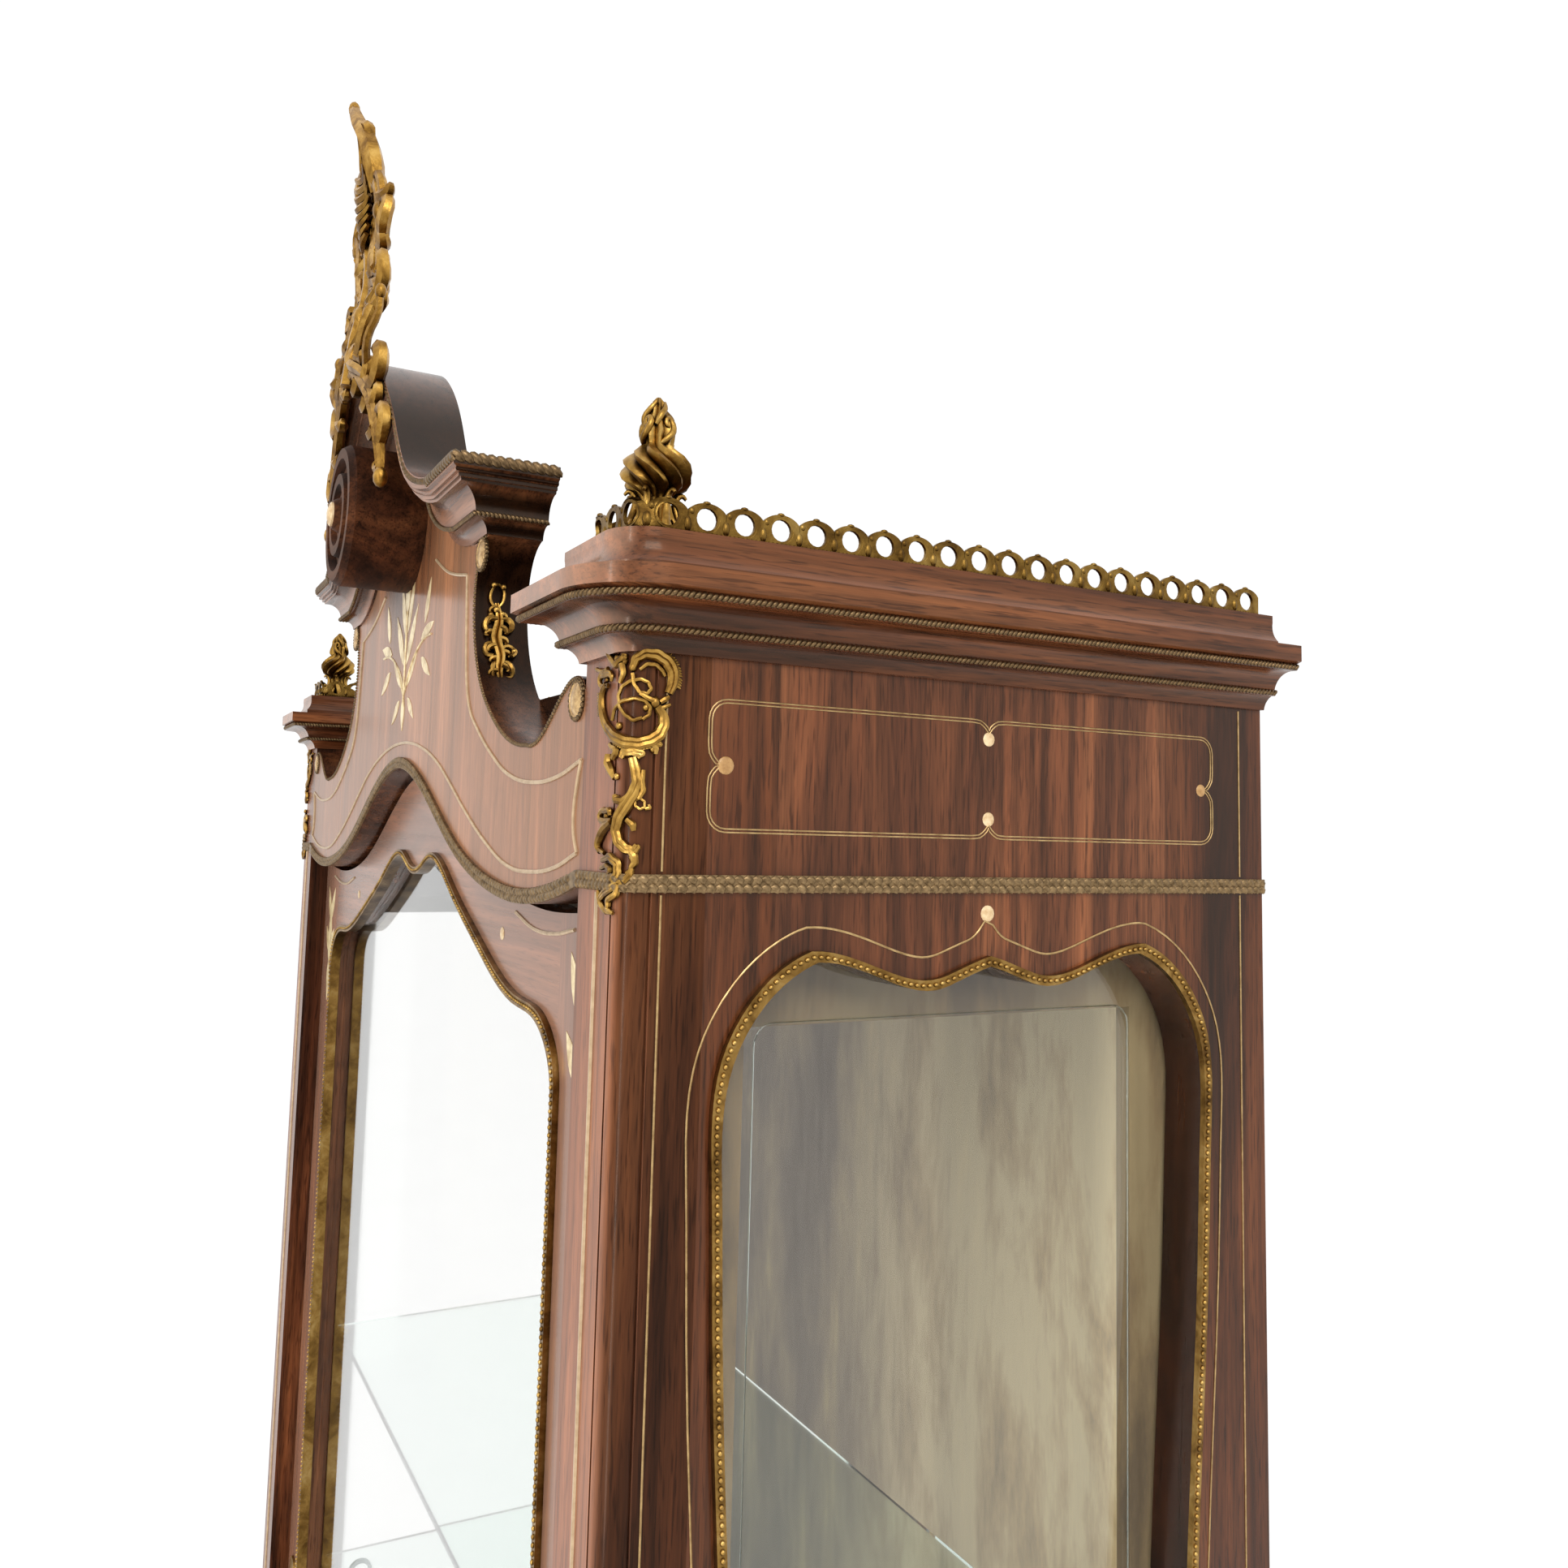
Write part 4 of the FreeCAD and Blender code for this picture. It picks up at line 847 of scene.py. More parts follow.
# crest: leafy scrolls over the hood, in mm from its foot, with half thicknesses
crestLook = {
    "bands": [
        [(119, -14, 4), (115, 6, 6), (103, 32, 7.5), (84, 60, 8), (56, 86, 8.5), (28, 102, 8.5), (6, 112, 7)],
        [(10, 104, 6), (40, 112, 8.5), (62, 134, 9.5), (64, 162, 9), (46, 180, 8), (32, 168, 6),
         (40, 154, 4)],
        [(46, 182, 6), (36, 208, 8.5), (42, 236, 9), (50, 254, 7.5), (38, 272, 6.5), (28, 260, 4.5)],
        [(10, 180, 5), (26, 204, 6.5), (22, 232, 6.5), (8, 250, 5)]],
    "pairs": [
        [(110, 18, 5), (123, 30, 6), (116, 46, 5.5), (104, 46, 4)],
        [(76, 72, 6), (99, 82, 7), (99, 100, 6.5), (85, 103, 4.5)],
        [(60, 90, 3.6), (84, 112, 3.4), (94, 132, 3), (97, 146, 3.2)],
        [(60, 150, 4.5), (79, 168, 6.5), (77, 188, 5.5), (65, 192, 4)],
        [(44, 214, 4.5), (63, 224, 6.5), (66, 242, 5.5), (55, 246, 3.5)],
        [(8, 130, 5), (25, 140, 6.5), (31, 158, 5.5), (18, 173, 5.5), (6, 168, 4)]],
    "singles": [
        [(0, 96, 7), (0, 140, 8), (0, 190, 7), (2, 240, 6), (0, 280, 5)],
        [(30, 262, 6), (28, 288, 9.5), (18, 314, 9), (2, 334, 7.5), (-11, 350, 6), (-22, 362, 4)],
        [(-30, 262, 6), (-20, 284, 9), (-6, 302, 8), (12, 310, 6.5), (20, 324, 5.5), (9, 332, 4)],
        [(0, 276, 6), (-12, 300, 8), (-10, 320, 7), (2, 334, 5)]],
    "shell": {"foot": 208, "height": 64, "ribs": 4, "spread": 7.5, "half": 3.2, "forward": 0.007,
              "rib": [(0.3, 0, 0.6), (0.75, 0.4, 1), (1, 0.8, 1.2), (1.05, 1, 0.7)],
              "rungs": range(224, 290, 9),
              "rung": [(-17, 6, 2.4), (-8.5, 1, 3.8), (0, 0, 4.2), (8.5, 1, 3.8), (17, 6, 2.4)]},
    "buds": [(0, 122, 11), (0, 160, 9), (97, 148, 5.5), (-97, 148, 5.5), (-22, 361, 6), (119, -12, 7),
             (-119, -12, 7), (64, 140, 8), (-64, 140, 8), (46, 240, 8), (-46, 240, 8)],
    "lean": [(0, -0.2540), (110, -0.2540), (160, -0.2430), (230, -0.2400), (290, -0.2450), (335, -0.2540),
             (370, -0.2590)],
    "leafGap": 21, "leafLength": 11, "onHood": 105, "setBack": 0.000085, "sway": (0.0025, 0.13, 0.07)}
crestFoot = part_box("crest")[0].z


def crestPoint(x, z, half, forward=0):
    # the spray bows: forward at the foot and tip, back in between
    for (z0, y0), (z1, y1) in zip(crestLook["lean"], crestLook["lean"][1:]):
        if z <= z1:
            break
    y = y0 + (y1 - y0) * max(0, min(1, (z - z0) / (z1 - z0)))
    if z < crestLook["onHood"]:
        y += crestLook["setBack"] * abs(x)
    else:
        reach, waveX, waveZ = crestLook["sway"]
        y += reach * math.sin(x * waveX + z * waveZ)
    return Vector((x / 1000, y - forward, crestFoot + z / 1000)), half / 1000


runs = mirroredRuns(crestLook["pairs"]) + crestLook["singles"]
for run in mirroredRuns(crestLook["bands"]):
    runs = runs + ridged(run) + leaflets(run, crestLook["leafGap"], crestLook["leafLength"])
shell = crestLook["shell"]
for i in range(-shell["ribs"], shell["ribs"] + 1):
    runs.append([(i * shell["spread"] * wide, shell["foot"] + shell["height"] * rise, shell["half"] * stout)
                 for wide, rise, stout in shell["rib"]])
runs = [[crestPoint(*spot) for spot in run] for run in runs]
for z in shell["rungs"]:
    runs.append([crestPoint(x, z + rise, half, shell["forward"]) for x, rise, half in shell["rung"]])
buds = budBalls([crestPoint(*bud) for bud in crestLook["buds"]], (1, 0.85, 1.25))
crest = joined("crestSpray", [strokes("crestScrolls", runs, 3, 1)] + buds)
dress(crest, giltCrest, "cabinet")
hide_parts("crest")
print("cabinet: crest")


# corner mounts: run round the column, in mm along the wrap and up from the foot
mountLook = {
    "rise": 0.0018, "budRise": 0.001, "bendWithin": 16, "stout": 1.35,
    "tooth": 2.4, "toothGap": 1.4, "toothHalf": 0.6, "blade": [(-0.5, 0, 1.2), (0.5, 0.3, 1), (1, 0.9, 0.5)],
    "bands": [
        [(-0.3, 123.2, 1.3), (1.3, 128.2, 1.8), (5.5, 131.2, 2.4), (10.6, 131.1, 2.8), (16.4, 128, 2.8),
         (19.9, 122.5, 2.6), (19.9, 116.7, 2.2), (18, 111.3, 1.7)],
        [(11.9, 104.1, 1.5), (15.1, 100, 2), (15.7, 94.8, 2.4), (13.4, 89.9, 2.6), (8.9, 86.5, 2.6),
         (3.9, 84.9, 2.6), (-2.3, 85.5, 2.6), (-10.4, 88.6, 2.6), (-21, 93.9, 2.4), (-27.7, 100.1, 2.2),
         (-30.7, 106.7, 2), (-30.2, 113.1, 1.8), (-25.4, 117.1, 1.5)],
        [(-22.5, 116.2, 1.1), (-33.5, 117.4, 1.3), (-35, 120.9, 1.5), (-27.3, 122.4, 1.7),
         (-17.5, 120.4, 1.3), (-18.1, 118.1, 0.9)],
        [(-4.7, 77.7, 1.3), (-3.2, 80.2, 1.8), (1.1, 80.9, 2), (5.4, 79.3, 1.7), (3.5, 77.7, 0.9)],
        [(1.2, 77.7, 1.7), (2.8, 71.4, 2), (3.9, 65.3, 2.2), (2.2, 59.4, 2.4), (-1.2, 53.4, 2.6),
         (-4.9, 47.3, 2.6), (-6.5, 40.7, 2.4), (-4.6, 35.1, 2.2), (-0.6, 31.6, 2), (3.3, 30.8, 1.8),
         (5, 33.3, 1.5)],
        [(-22.1, 25.4, 1.1), (-10.1, 27.2, 1.8), (-4.8, 24, 2), (-4.5, 18.7, 2), (-7.9, 15.1, 1.7)],
        [(-1.5, 14.8, 1.7), (-7.7, 11.9, 1.8), (-18.1, 8, 1.8), (-22.5, 3.7, 1.7), (-15.7, 0.2, 1.5),
         (-7, -0.7, 0.9)]],
    "plain": [
        [(15.6, 120, 0.7), (14, 122.5, 0.9), (10.4, 125.4, 0.9), (6.5, 125.5, 0.9), (3.2, 122.7, 0.7)],
        [(5, 98, 0.8), (1, 96.7, 0.8), (-3.4, 99.6, 0.8), (-6.8, 103.9, 0.8), (-7.9, 109.7, 0.8),
         (-5.5, 114.1, 0.8), (-0.8, 116.9, 0.8), (3.9, 117.7, 0.8), (7.3, 116.1, 0.8), (8.6, 112.9, 0.8),
         (6.9, 110.5, 0.8), (3.6, 111, 0.8), (0.8, 115.1, 0.8), (-0.2, 120.8, 0.9)],
        [(-14.4, 97.4, 0.8), (-11.7, 102.8, 0.8), (-5.1, 106.6, 0.8), (1.5, 107.9, 0.8), (6, 106.5, 0.8),
         (8.4, 103.4, 0.8), (8, 99.7, 0.8), (5.1, 97.3, 0.8)],
        [(3.6, 110.6, 0.8), (7, 108.3, 1.1), (10.9, 106.6, 1.3)],
        [(-6.3, 126, 1.5), (-5.1, 121, 1.3), (-7.1, 116.1, 0.9)],
        [(-24.4, 134.3, 1.3), (-18.2, 129.9, 1.8), (-10.9, 126.1, 1.7), (-5.2, 129.1, 1.8),
         (-4.7, 131.1, 1.1)],
        [(-40.4, 126.5, 0.9), (-29.7, 124.4, 0.9), (-23.5, 125.3, 0.9)],
        [(18.1, 109.6, 0.9), (16, 108.1, 1.3), (13.2, 106.4, 1.1)],
        [(19, 105.6, 0.7), (16.2, 104.4, 0.9), (13.6, 103.3, 0.9)],
        [(-18, 80, 1.5), (-18, 75.2, 2), (-13.3, 71.1, 1.8), (-9.2, 67, 0.9)],
        [(6.4, 71.5, 0.9), (5.9, 65.4, 1.3), (6.5, 61.1, 1.3), (4.6, 56.8, 1.1)],
        [(0.9, 58.8, 1.1), (-3, 55.6, 1.7), (-7.3, 56.3, 1.5), (-8.3, 58.6, 1.1)],
        [(-9.9, 45.5, 1.3), (-19.8, 45.3, 1.7), (-26.1, 47.8, 1.5), (-22.6, 50.7, 1.5), (-13.3, 50.5, 1.3),
         (-12.6, 48.2, 0.9)],
        [(-10.7, 45.3, 1.5), (-18.9, 42.1, 2), (-25, 37.6, 2), (-28.4, 32.7, 1.7), (-25.2, 29.3, 1.1)],
        [(-22.7, 21.1, 0.9), (-14.8, 22.7, 1.3), (-9.6, 20.8, 1.3), (-12.2, 18.1, 0.9)],
        [(1.4, 30.4, 1.1), (3.3, 28.2, 1.7), (3.8, 24.8, 1.5), (2.2, 22, 1.1)],
        [(2.5, 22, 1.1), (1.8, 18.5, 1.7), (-0.8, 15.2, 1.5)],
        [(-26.1, 11.4, 0.7), (-24.5, 6.9, 1.1), (-19.6, 2.2, 1.3), (-13.1, -1, 0.9)],
        [(-3.5, 13.8, 1.3), (-4.8, 8.9, 1.5), (-10.4, 5.2, 1.5), (-10.9, 1, 1.1), (-6.5, -1.1, 0.7)],
        [(3.3, 56.3, 0.6), (5.2, 57.1, 0.6), (7.3, 55.5, 0.6), (7.4, 52.7, 0.6), (5.4, 51.7, 0.6),
         (3.4, 53.2, 0.6), (3.1, 55.9, 0.6)],
        [(7.6, 51.8, 0.7), (9.6, 52.5, 0.9), (9.2, 54.2, 0.6)],
        [(-0.5, 46.4, 1.1), (2.3, 43.7, 1.5), (2.9, 40.7, 0.9)],
        [(-31.8, 33.6, 0.7), (-26.5, 30.8, 1.1), (-18.9, 28.9, 0.9)],
        [(9.4, 84.8, 0.9), (11.8, 82.8, 1.3), (11.7, 79.8, 0.9)],
        [(10.9, 84.9, 0.9), (14, 84.7, 1.1), (13.7, 86.6, 0.7)],
        [(-15.2, 84.7, 1.3), (-7.8, 81.2, 1.7), (-11.3, 77.6, 1.3)]],
    "combs": [
        [(12.1, 132.4), (17.9, 130.1), (21.7, 125.1), (22.9, 119.8), (22.2, 115.4)],
        [(-10.2, 85.8), (-2.2, 82.7), (4, 82.3), (9, 83.8)],
        [(-34, 101.5), (-35.2, 107.6), (-35.3, 113.6)]],
    "buds": [
        (-0.4, 124, 2.2), (10.8, 106.2, 2.8), (6.6, 103.3, 1.7), (-7.6, 93.9, 2), (-22.4, 133.5, 1.8),
        (-11.1, 129.1, 2.2), (-5.1, 127.3, 2), (-41.9, 126.6, 1.2), (-25.6, 119.6, 1.3), (-18.2, 48, 2.2),
        (2.5, 27.4, 1.8), (3.5, 24.5, 1.7), (0.7, 19.2, 1.8), (-8, 68.1, 1.7), (10.5, 82.4, 1.7),
        (-17.9, 71.1, 1.7), (-6.5, 57.3, 1.3), (4.9, 32.5, 1.5)]}
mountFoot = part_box("corner_mount_right")[0].z


def wrapped(u, z, rise):
    # a place on the post's skin: u runs from the front face round the column to the side
    reach, away = columnRadius * quarter / 2, u / 1000
    middle = Vector((halfWidth - columnRadius, frontY + columnRadius, mountFoot + z / 1000))
    if abs(away) <= reach:
        a = -quarter / 2 + away / columnRadius
        return middle + Vector((math.cos(a), math.sin(a), 0)) * (columnRadius + rise)
    if away > 0:
        return middle + Vector((columnRadius + rise, away - reach, 0))
    return middle + Vector((away + reach, -columnRadius - rise, 0))


def bent(run):
    # extra points, so that a stroke follows the column's curve
    fuller = []
    for (u, z, half), (u2, z2, half2) in zip(run, run[1:]):
        fuller.append((u, z, half))
        if min(abs(u), abs(u2)) < mountLook["bendWithin"]:
            fuller.append(((u + u2) / 2, (z + z2) / 2, (half + half2) / 2))
    return [(wrapped(u, z, mountLook["rise"]), half / 1000 * mountLook["stout"])
            for u, z, half in fuller + run[-1:]]


def teeth(run):
    # short blades that feather the outer edge of a scroll
    out, left, half = [], 0, mountLook["toothHalf"]
    for start, end in zip(run, run[1:]):
        start, end = Vector(start), Vector(end)
        way = (end - start).normalized()
        aside = Vector((-way.y, way.x)) * mountLook["tooth"]
        while left < (end - start).length:
            root = start + way * left
            out.append([(*(root + aside * tall + way * ahead), half * stout)
                        for tall, ahead, stout in mountLook["blade"]])
            left += mountLook["toothGap"]
        left -= (end - start).length
    return out


runs = list(mountLook["plain"])
for made, kind in ((ridged, "bands"), (teeth, "combs")):
    for run in mountLook[kind]:
        runs += made(run)
mount = strokes("mountScrolls", [bent(run) for run in runs], 4, 2)
buds = budBalls([(wrapped(u, z, mountLook["budRise"]), size / 1000) for u, z, size in mountLook["buds"]],
                (1, 1, 1.2))
dressPair(joined("cornerMount", [mount] + buds), giltMount, "corner_mount")
print("cabinet: corner mounts")


# pendants on the pediment flanks, in mm forward and down, and ringed discs on the volutes and shoulders
boardLoop = turnedOut(faceLoops("front_board", 1, -1)[0], toFront)
first = boardLoop.index(min(boardLoop, key=lambda p: p.x))
boardLoop = boardLoop[first:] + boardLoop[:first]
trimLook = {"discs": [(0.4615, 1.7030, 0.0108), (0.2440, 1.8265, 0.0118)], "sunk": 0.0004, "topDrop": 0.030,
            "setForward": 0.0045, "out": 0.0030, "slim": 0.8, "leafGap": 5, "leafLength": 4,
            "rim": 0.0017, "rimProud": 0.0006, "rimPitch": 0.0031, "rimSides": 36, "flankX": 0.2,
            "flankLow": 0.02, "flankTop": 0.002,
            "face": [(1, 0), (1, 0.0014), (0.86, 0.0024), (0.80, 0.0018), (0.5, 0.0031), (0.2, 0.0036)],
            "bands": [[(0, 14, 1.6), (2, 26, 3.4), (-1, 40, 4.4), (1, 54, 3.8), (-1, 66, 2.8), (2, 78, 1.3)]],
            "plain": [[(0, 0, 1.1), (4, 3, 1.3), (5, 9, 1.4), (3, 15, 1.3), (0, 17, 1.2), (-3, 15, 1.2),
                       (-5, 9, 1.2), (-3, 3, 1.1), (0, 0, 1.1)],
                      [(-2, 24, 2), (-7, 27, 2.8), (-8, 34, 2.4), (-4, 37, 1.4)],
                      [(3, 26, 2), (9, 26, 3), (11, 32, 2.8), (7, 36, 1.6)],
                      [(1, 50, 2.2), (8, 46, 2.4), (12, 50, 2.6), (9, 54, 1.8)],
                      [(-2, 44, 2), (-8, 46, 2.6), (-8, 53, 2.2), (-4, 54, 1.4)],
                      [(2, 58, 1.8), (7, 61, 2.6), (8, 69, 2), (4, 70, 1.2)],
                      [(-2, 58, 1.6), (-6, 63, 2.2), (-5, 70, 1.4)]],
            "buds": [(-3, 1, 2.4), (4, 2, 2.6), (0, 19, 3.4), (4, 22, 3), (-4, 23, 2.6), (12, 50, 3.2),
                     (2, 79, 2.2)]}
flank = [p for p in boardLoop if p.x > trimLook["flankX"]
         and corniceZ + trimLook["flankLow"] < p.z < hoodLow.z - trimLook["flankTop"]]
pendantY = (boardLow.y + boardHigh.y) / 2 - trimLook["setForward"]
pendantTop = hoodLow.z - trimLook["topDrop"]


def pendantPoint(y, drop, half):
    z = pendantTop - drop / 1000
    x = min(flank, key=lambda p: abs(p.z - z)).x + trimLook["out"]
    return Vector((x, pendantY + y / 1000, z)), half * trimLook["slim"] / 1000


runs = list(trimLook["plain"])
for run in trimLook["bands"]:
    runs = runs + ridged(run) + leaflets(run, trimLook["leafGap"], trimLook["leafLength"])
pendant = strokes("pendantLeaves", [[pendantPoint(*spot) for spot in run] for run in runs], 3, 1)
buds = budBalls([pendantPoint(*bud) for bud in trimLook["buds"]], (0.8, 1, 1.1))
trimRight = joined("pedimentTrim", [pendant] + buds)
trimLeft = mirroredCopy(trimRight, "pedimentTrimLeft")
trim = dress(joined("pedimentTrim", [trimRight, trimLeft]), giltMount, "cabinet")
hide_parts("pediment_trim")
faces, rims, rimY = [], [], frontY - trimLook["rimProud"]
rimUnit = ball([trimLook["rim"]] * 3)
for x, z, radius in trimLook["discs"]:
    faces.append(turned("trimFace", (x, frontY + trimLook["sunk"], z),
                        [(radius * wide, rise) for wide, rise in trimLook["face"]]))
    circle = [Vector((x + spot.x, rimY, z + spot.y)) for spot in ringOf(zero, radius, trimLook["rimSides"])]
    rims.append(runAlong("discRim", rimUnit, circle, frontPlane(rimY), trimLook["rimPitch"], True))
dressPair(joined("trimDisc", faces), discFace)
dressPair(joined("trimRim", rims), darkBronze)
discard(rimUnit)
print("cabinet: pediment trim")


# beads along the gilt mouldings of the windows and the door
beads = {"half": (0.0017, 0.0014, 0.0015), "inset": -0.003, "step": 0.004, "windowPitch": 0.0043,
         "doorPitch": 0.0046}
beadUnit = ball(beads["half"])


def beadLine(loop, normal):
    middle = shifted(evenly(loop, beads["step"], True), normal, beads["inset"], True)
    return evenly(middle, beads["step"], True)


outer = turnedOut(faceLoops("window_moulding_right", 0, 1)[0], toSide)
windowBase = sidePlane(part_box("window_moulding_right")[1].x)
dressPair(runAlong("windowBeads", beadUnit, beadLine(outer, toSide), windowBase, beads["windowPitch"], True),
          giltWorn)
doorLoop = turnedOut(faceLoops("door_moulding", 1, -1)[0], toFront)
doorBase = frontPlane(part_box("door_moulding")[0].y)
dress(runAlong("doorBeads", beadUnit, beadLine(doorLoop, toFront), doorBase, beads["doorPitch"], True),
      giltWorn, "door")

# two rows of leaves along each gilt band
bands = {"leaf": (0.0066, 0.0050, 0.0014), "z": 1.6045, "row": 0.0022, "pitch": 0.0054, "postStep": 0.003,
         "apronStep": 0.004, "apronRise": 0.0045, "edge": 0.0005, "archX": 0.2, "archDrop": 0.0385,
         "endDrop": 0.050}
bandLeaf = leafUnit(*bands["leaf"])
sideLeaf = copyOf(bandLeaf, "sideLeaf")
sideLeaf.rotation_euler.x = -quarter
settle()
apronEdge = [p for p in boardLoop if abs(p.x) < openingHalf - bands["edge"]
             and p.z < corniceZ - bands["archDrop" if abs(p.x) < bands["archX"] else "endDrop"]]
apronEdge = sorted(apronEdge, key=lambda p: p.x)
postRows, apronRows, pitch = [], [], bands["pitch"]
for row in (-bands["row"], bands["row"]):
    postRows.append(roundTop("postRow", sideLeaf, bandHigh.x - halfWidth, bands["z"] + row, bands["postStep"],
                             pitch, False))
dressPair(joined("postBandLeaves", postRows), bandBronze)
for row in (-bands["row"], bands["row"]):
    line = [p + Vector((0, bandLow.y - p.y, bands["apronRise"] + row)) for p in apronEdge]
    apronRows.append(runAlong("apronRow", bandLeaf, evenly(line, bands["apronStep"]), frontPlane(bandLow.y),
                              pitch))
dress(joined("apronBandLeaves", apronRows), bandBronze, "cabinet")

# a fine rope down each pediment flank and round its volute
flankLook = {"half": (0.0015, 0.0015, 0.0015), "fromX": 0.15, "edge": 0.0005, "low": 0.04, "top": 0.001,
             "inset": -0.0014, "step": 0.003, "pitch": 0.0031}
fineBead = ball(flankLook["half"])
flankRun = [p for p in boardLoop if flankLook["fromX"] < p.x < openingHalf - flankLook["edge"]
            and corniceZ - flankLook["low"] < p.z < hoodLow.z - flankLook["top"]]
flankRun = evenly(shifted(evenly(flankRun, flankLook["step"]), toFront, flankLook["inset"]),
                  flankLook["step"])
dressPair(runAlong("flankRope", fineBead, flankRun, frontPlane(frontY), flankLook["pitch"]), darkBronze)

# hood: a bell moulding along the pediment's curve, with a return at each end; the grid is bent ring by ring
bonnet = {"height": 0.046, "overhang": 0.036, "bow": 0.018, "flatX": 0.212, "deep": 0.039, "shallow": 0.0085,
          "shallowFrom": 0.024, "step": 0.006, "topRope": (1.0, 0.93), "lowRope": (0.40, 0.235),
          "lower": (0.06, 0.0, 0.30, 0.20, 6), "bell": (0.38, 0.27, 0.79, 0.62, 10),
          "seat": [(0.33, 0.20), (0.39, 0.215), (0.39, 0.255)],
          "lip": [(0.80, 0.66), (0.86, 0.665), (0.86, 0.72), (0.92, 0.725), (0.945, 0.75), (0.93, 0.785),
                  (0.96, 0.80), (1.0, 0.815), (1.0, 1.0)],
          "slackZ": 0.0004, "slackX": 0.0005, "pastFlat": 0.02, "merge": 0.00005, "stout": (2.2, 1.3, 2.2),
          "ropeStep": 0.003, "tiltReach": 3}
shoulder = hoodHigh.x - bonnet["overhang"]


def cove(out, low, outEnd, high, count):
    turns = [quarter * i / (count - 1) for i in range(count)]
    return [(out + (outEnd - out) * (1 - math.cos(a)), low + (high - low) * math.sin(a)) for a in turns]


bell = [(0, 0)] + cove(*bonnet["lower"]) + bonnet["seat"] + cove(*bonnet["bell"]) + bonnet["lip"]
hoodLine = sorted((p for p in boardLoop if p.z > hoodLow.z - bonnet["slackZ"]
                   and -bonnet["slackX"] < p.x < shoulder + bonnet["slackX"]), key=lambda p: p.x)
hoodLine = evenly(hoodLine, bonnet["step"])


def hoodTilt(i):
    reach = bonnet["tiltReach"]
    way = hoodLine[min(i + reach, len(hoodLine) - 1)] - hoodLine[max(i - reach, 0)]
    return 0 if i == 0 else math.atan2(way.z, way.x)


def hoodSpot(i, out, rise):
    # a place on the hood's face: i counts along its curve from the middle
    spot, tilt = hoodLine[i], hoodTilt(i)
    if spot.x > bonnet["flatX"]:
        tilt = 0
    reach = bonnet["overhang"] + bonnet["bow"] * max(0, 1 - spot.x / bonnet["flatX"])
    return Vector((spot.x - math.sin(tilt) * rise * bonnet["height"], frontY - out * reach,
                   spot.z + math.cos(tilt) * rise * bonnet["height"]))


def hoodRing(i):
    deep = bonnet["shallow"] if hoodLine[i].z > hoodLow.z + bonnet["shallowFrom"] else bonnet["deep"]
    ring = [hoodSpot(i, out, rise) for out, rise in bell]
    for rise in (1, 0):
        back = hoodSpot(i, 0, rise)
        ring.append(Vector((back.x, frontY + deep, back.z)))
    return ring


rings = [hoodRing(i) for i in range(len(hoodLine)) if hoodLine[i].x < bonnet["flatX"] + bonnet["pastFlat"]]
returnY = frontY + bonnet["deep"]
for atCorner in (True, False):
    ring = []
    for out, rise in bell:
        far = out * bonnet["overhang"]
        ring.append(Vector((shoulder + far, frontY - far if atCorner else returnY,
                            hoodLow.z + rise * bonnet["height"])))
    rings.append(ring + [Vector((shoulder, returnY, hoodLow.z + rise * bonnet["height"])) for rise in (1, 0)])
rings = [[Vector((-p.x, p.y, p.z)) for p in ring] for ring in rings[:0:-1]] + rings
pickNone()
bpy.ops.mesh.primitive_grid_add(x_subdivisions=len(rings) - 1, y_subdivisions=len(bell) + 2, size=1)
hoodFace = bpy.context.object
hoodFace.name = "bonnetMoulding"
spots = [(i, j) for j in range(len(bell) + 3) for i in range(len(rings))]
for vertex, (i, j) in zip(hoodFace.data.vertices, spots):
    vertex.co = rings[i][j % (len(bell) + 2)]
openMesh()
bpy.ops.mesh.remove_doubles(threshold=bonnet["merge"])
bpy.ops.mesh.select_all(action="DESELECT")
bpy.ops.mesh.select_non_manifold(extend=False, use_wire=False, use_boundary=True, use_multi_face=False,
                                 use_non_contiguous=False, use_verts=False)
bpy.ops.mesh.edge_face_add()
closeMesh()
dress(hoodFace, bonnetVeneer, "cabinet", 35)
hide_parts("hood")

# ropes along the hood: a stout one on its top edge and a fine one under the bell
stoutRope = copyOf(ropeUnit, "stoutRope")
stoutRope.scale = bonnet["stout"]
settle()
rows = []
for (out, rise), unit, pitch in ((bonnet["topRope"], stoutRope, ropes["pitch"] * 2),
                                 (bonnet["lowRope"], ropeUnit, ropes["pitch"])):
    far, z = out * bonnet["overhang"], hoodLow.z + rise * bonnet["height"]
    line = [Vector((bonnet["flatX"], frontY - far, z)), Vector((shoulder + far, frontY - far, z)),
            Vector((shoulder + far, returnY, z))]
    rows.append(runAlong("hoodEndRope", unit, evenly(line, bonnet["ropeStep"]), levelPlane(z), pitch))
    curve = [hoodSpot(i, out, rise) for i in range(len(hoodLine)) if hoodLine[i].x < bonnet["flatX"]]
    slope = Vector((bonnet["flatX"], out * bonnet["bow"], 0)).normalized()
    base = plane(slope, (0, 0, 1), (slope.y, -slope.x, 0), curve[0])
    rows.append(runAlong("hoodArchRope", unit, evenly(curve, bonnet["ropeStep"]), base, pitch))
dressPair(joined("hoodRope", rows), darkBronze)
discard(ropeUnit, stoutRope, beadUnit, fineBead, bandLeaf, sideLeaf)
print("cabinet: beads, ropes and leaf bands")

# a pale turned button in the middle of the boss
button = {"sunk": 0.0004, "rings": [(0.0105, 0), (0.0105, 0.0020), (0.0090, 0.0030), (0.0083, 0.0022),
                                    (0.0060, 0.0040), (0.0022, 0.0047)]}
bossLow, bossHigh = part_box("boss")
bossButton = turned("bossButton", (0, bossLow.y + button["sunk"], (bossLow.z + bossHigh.z) / 2),
                    button["rings"])
dress(bossButton, bone, "cabinet")

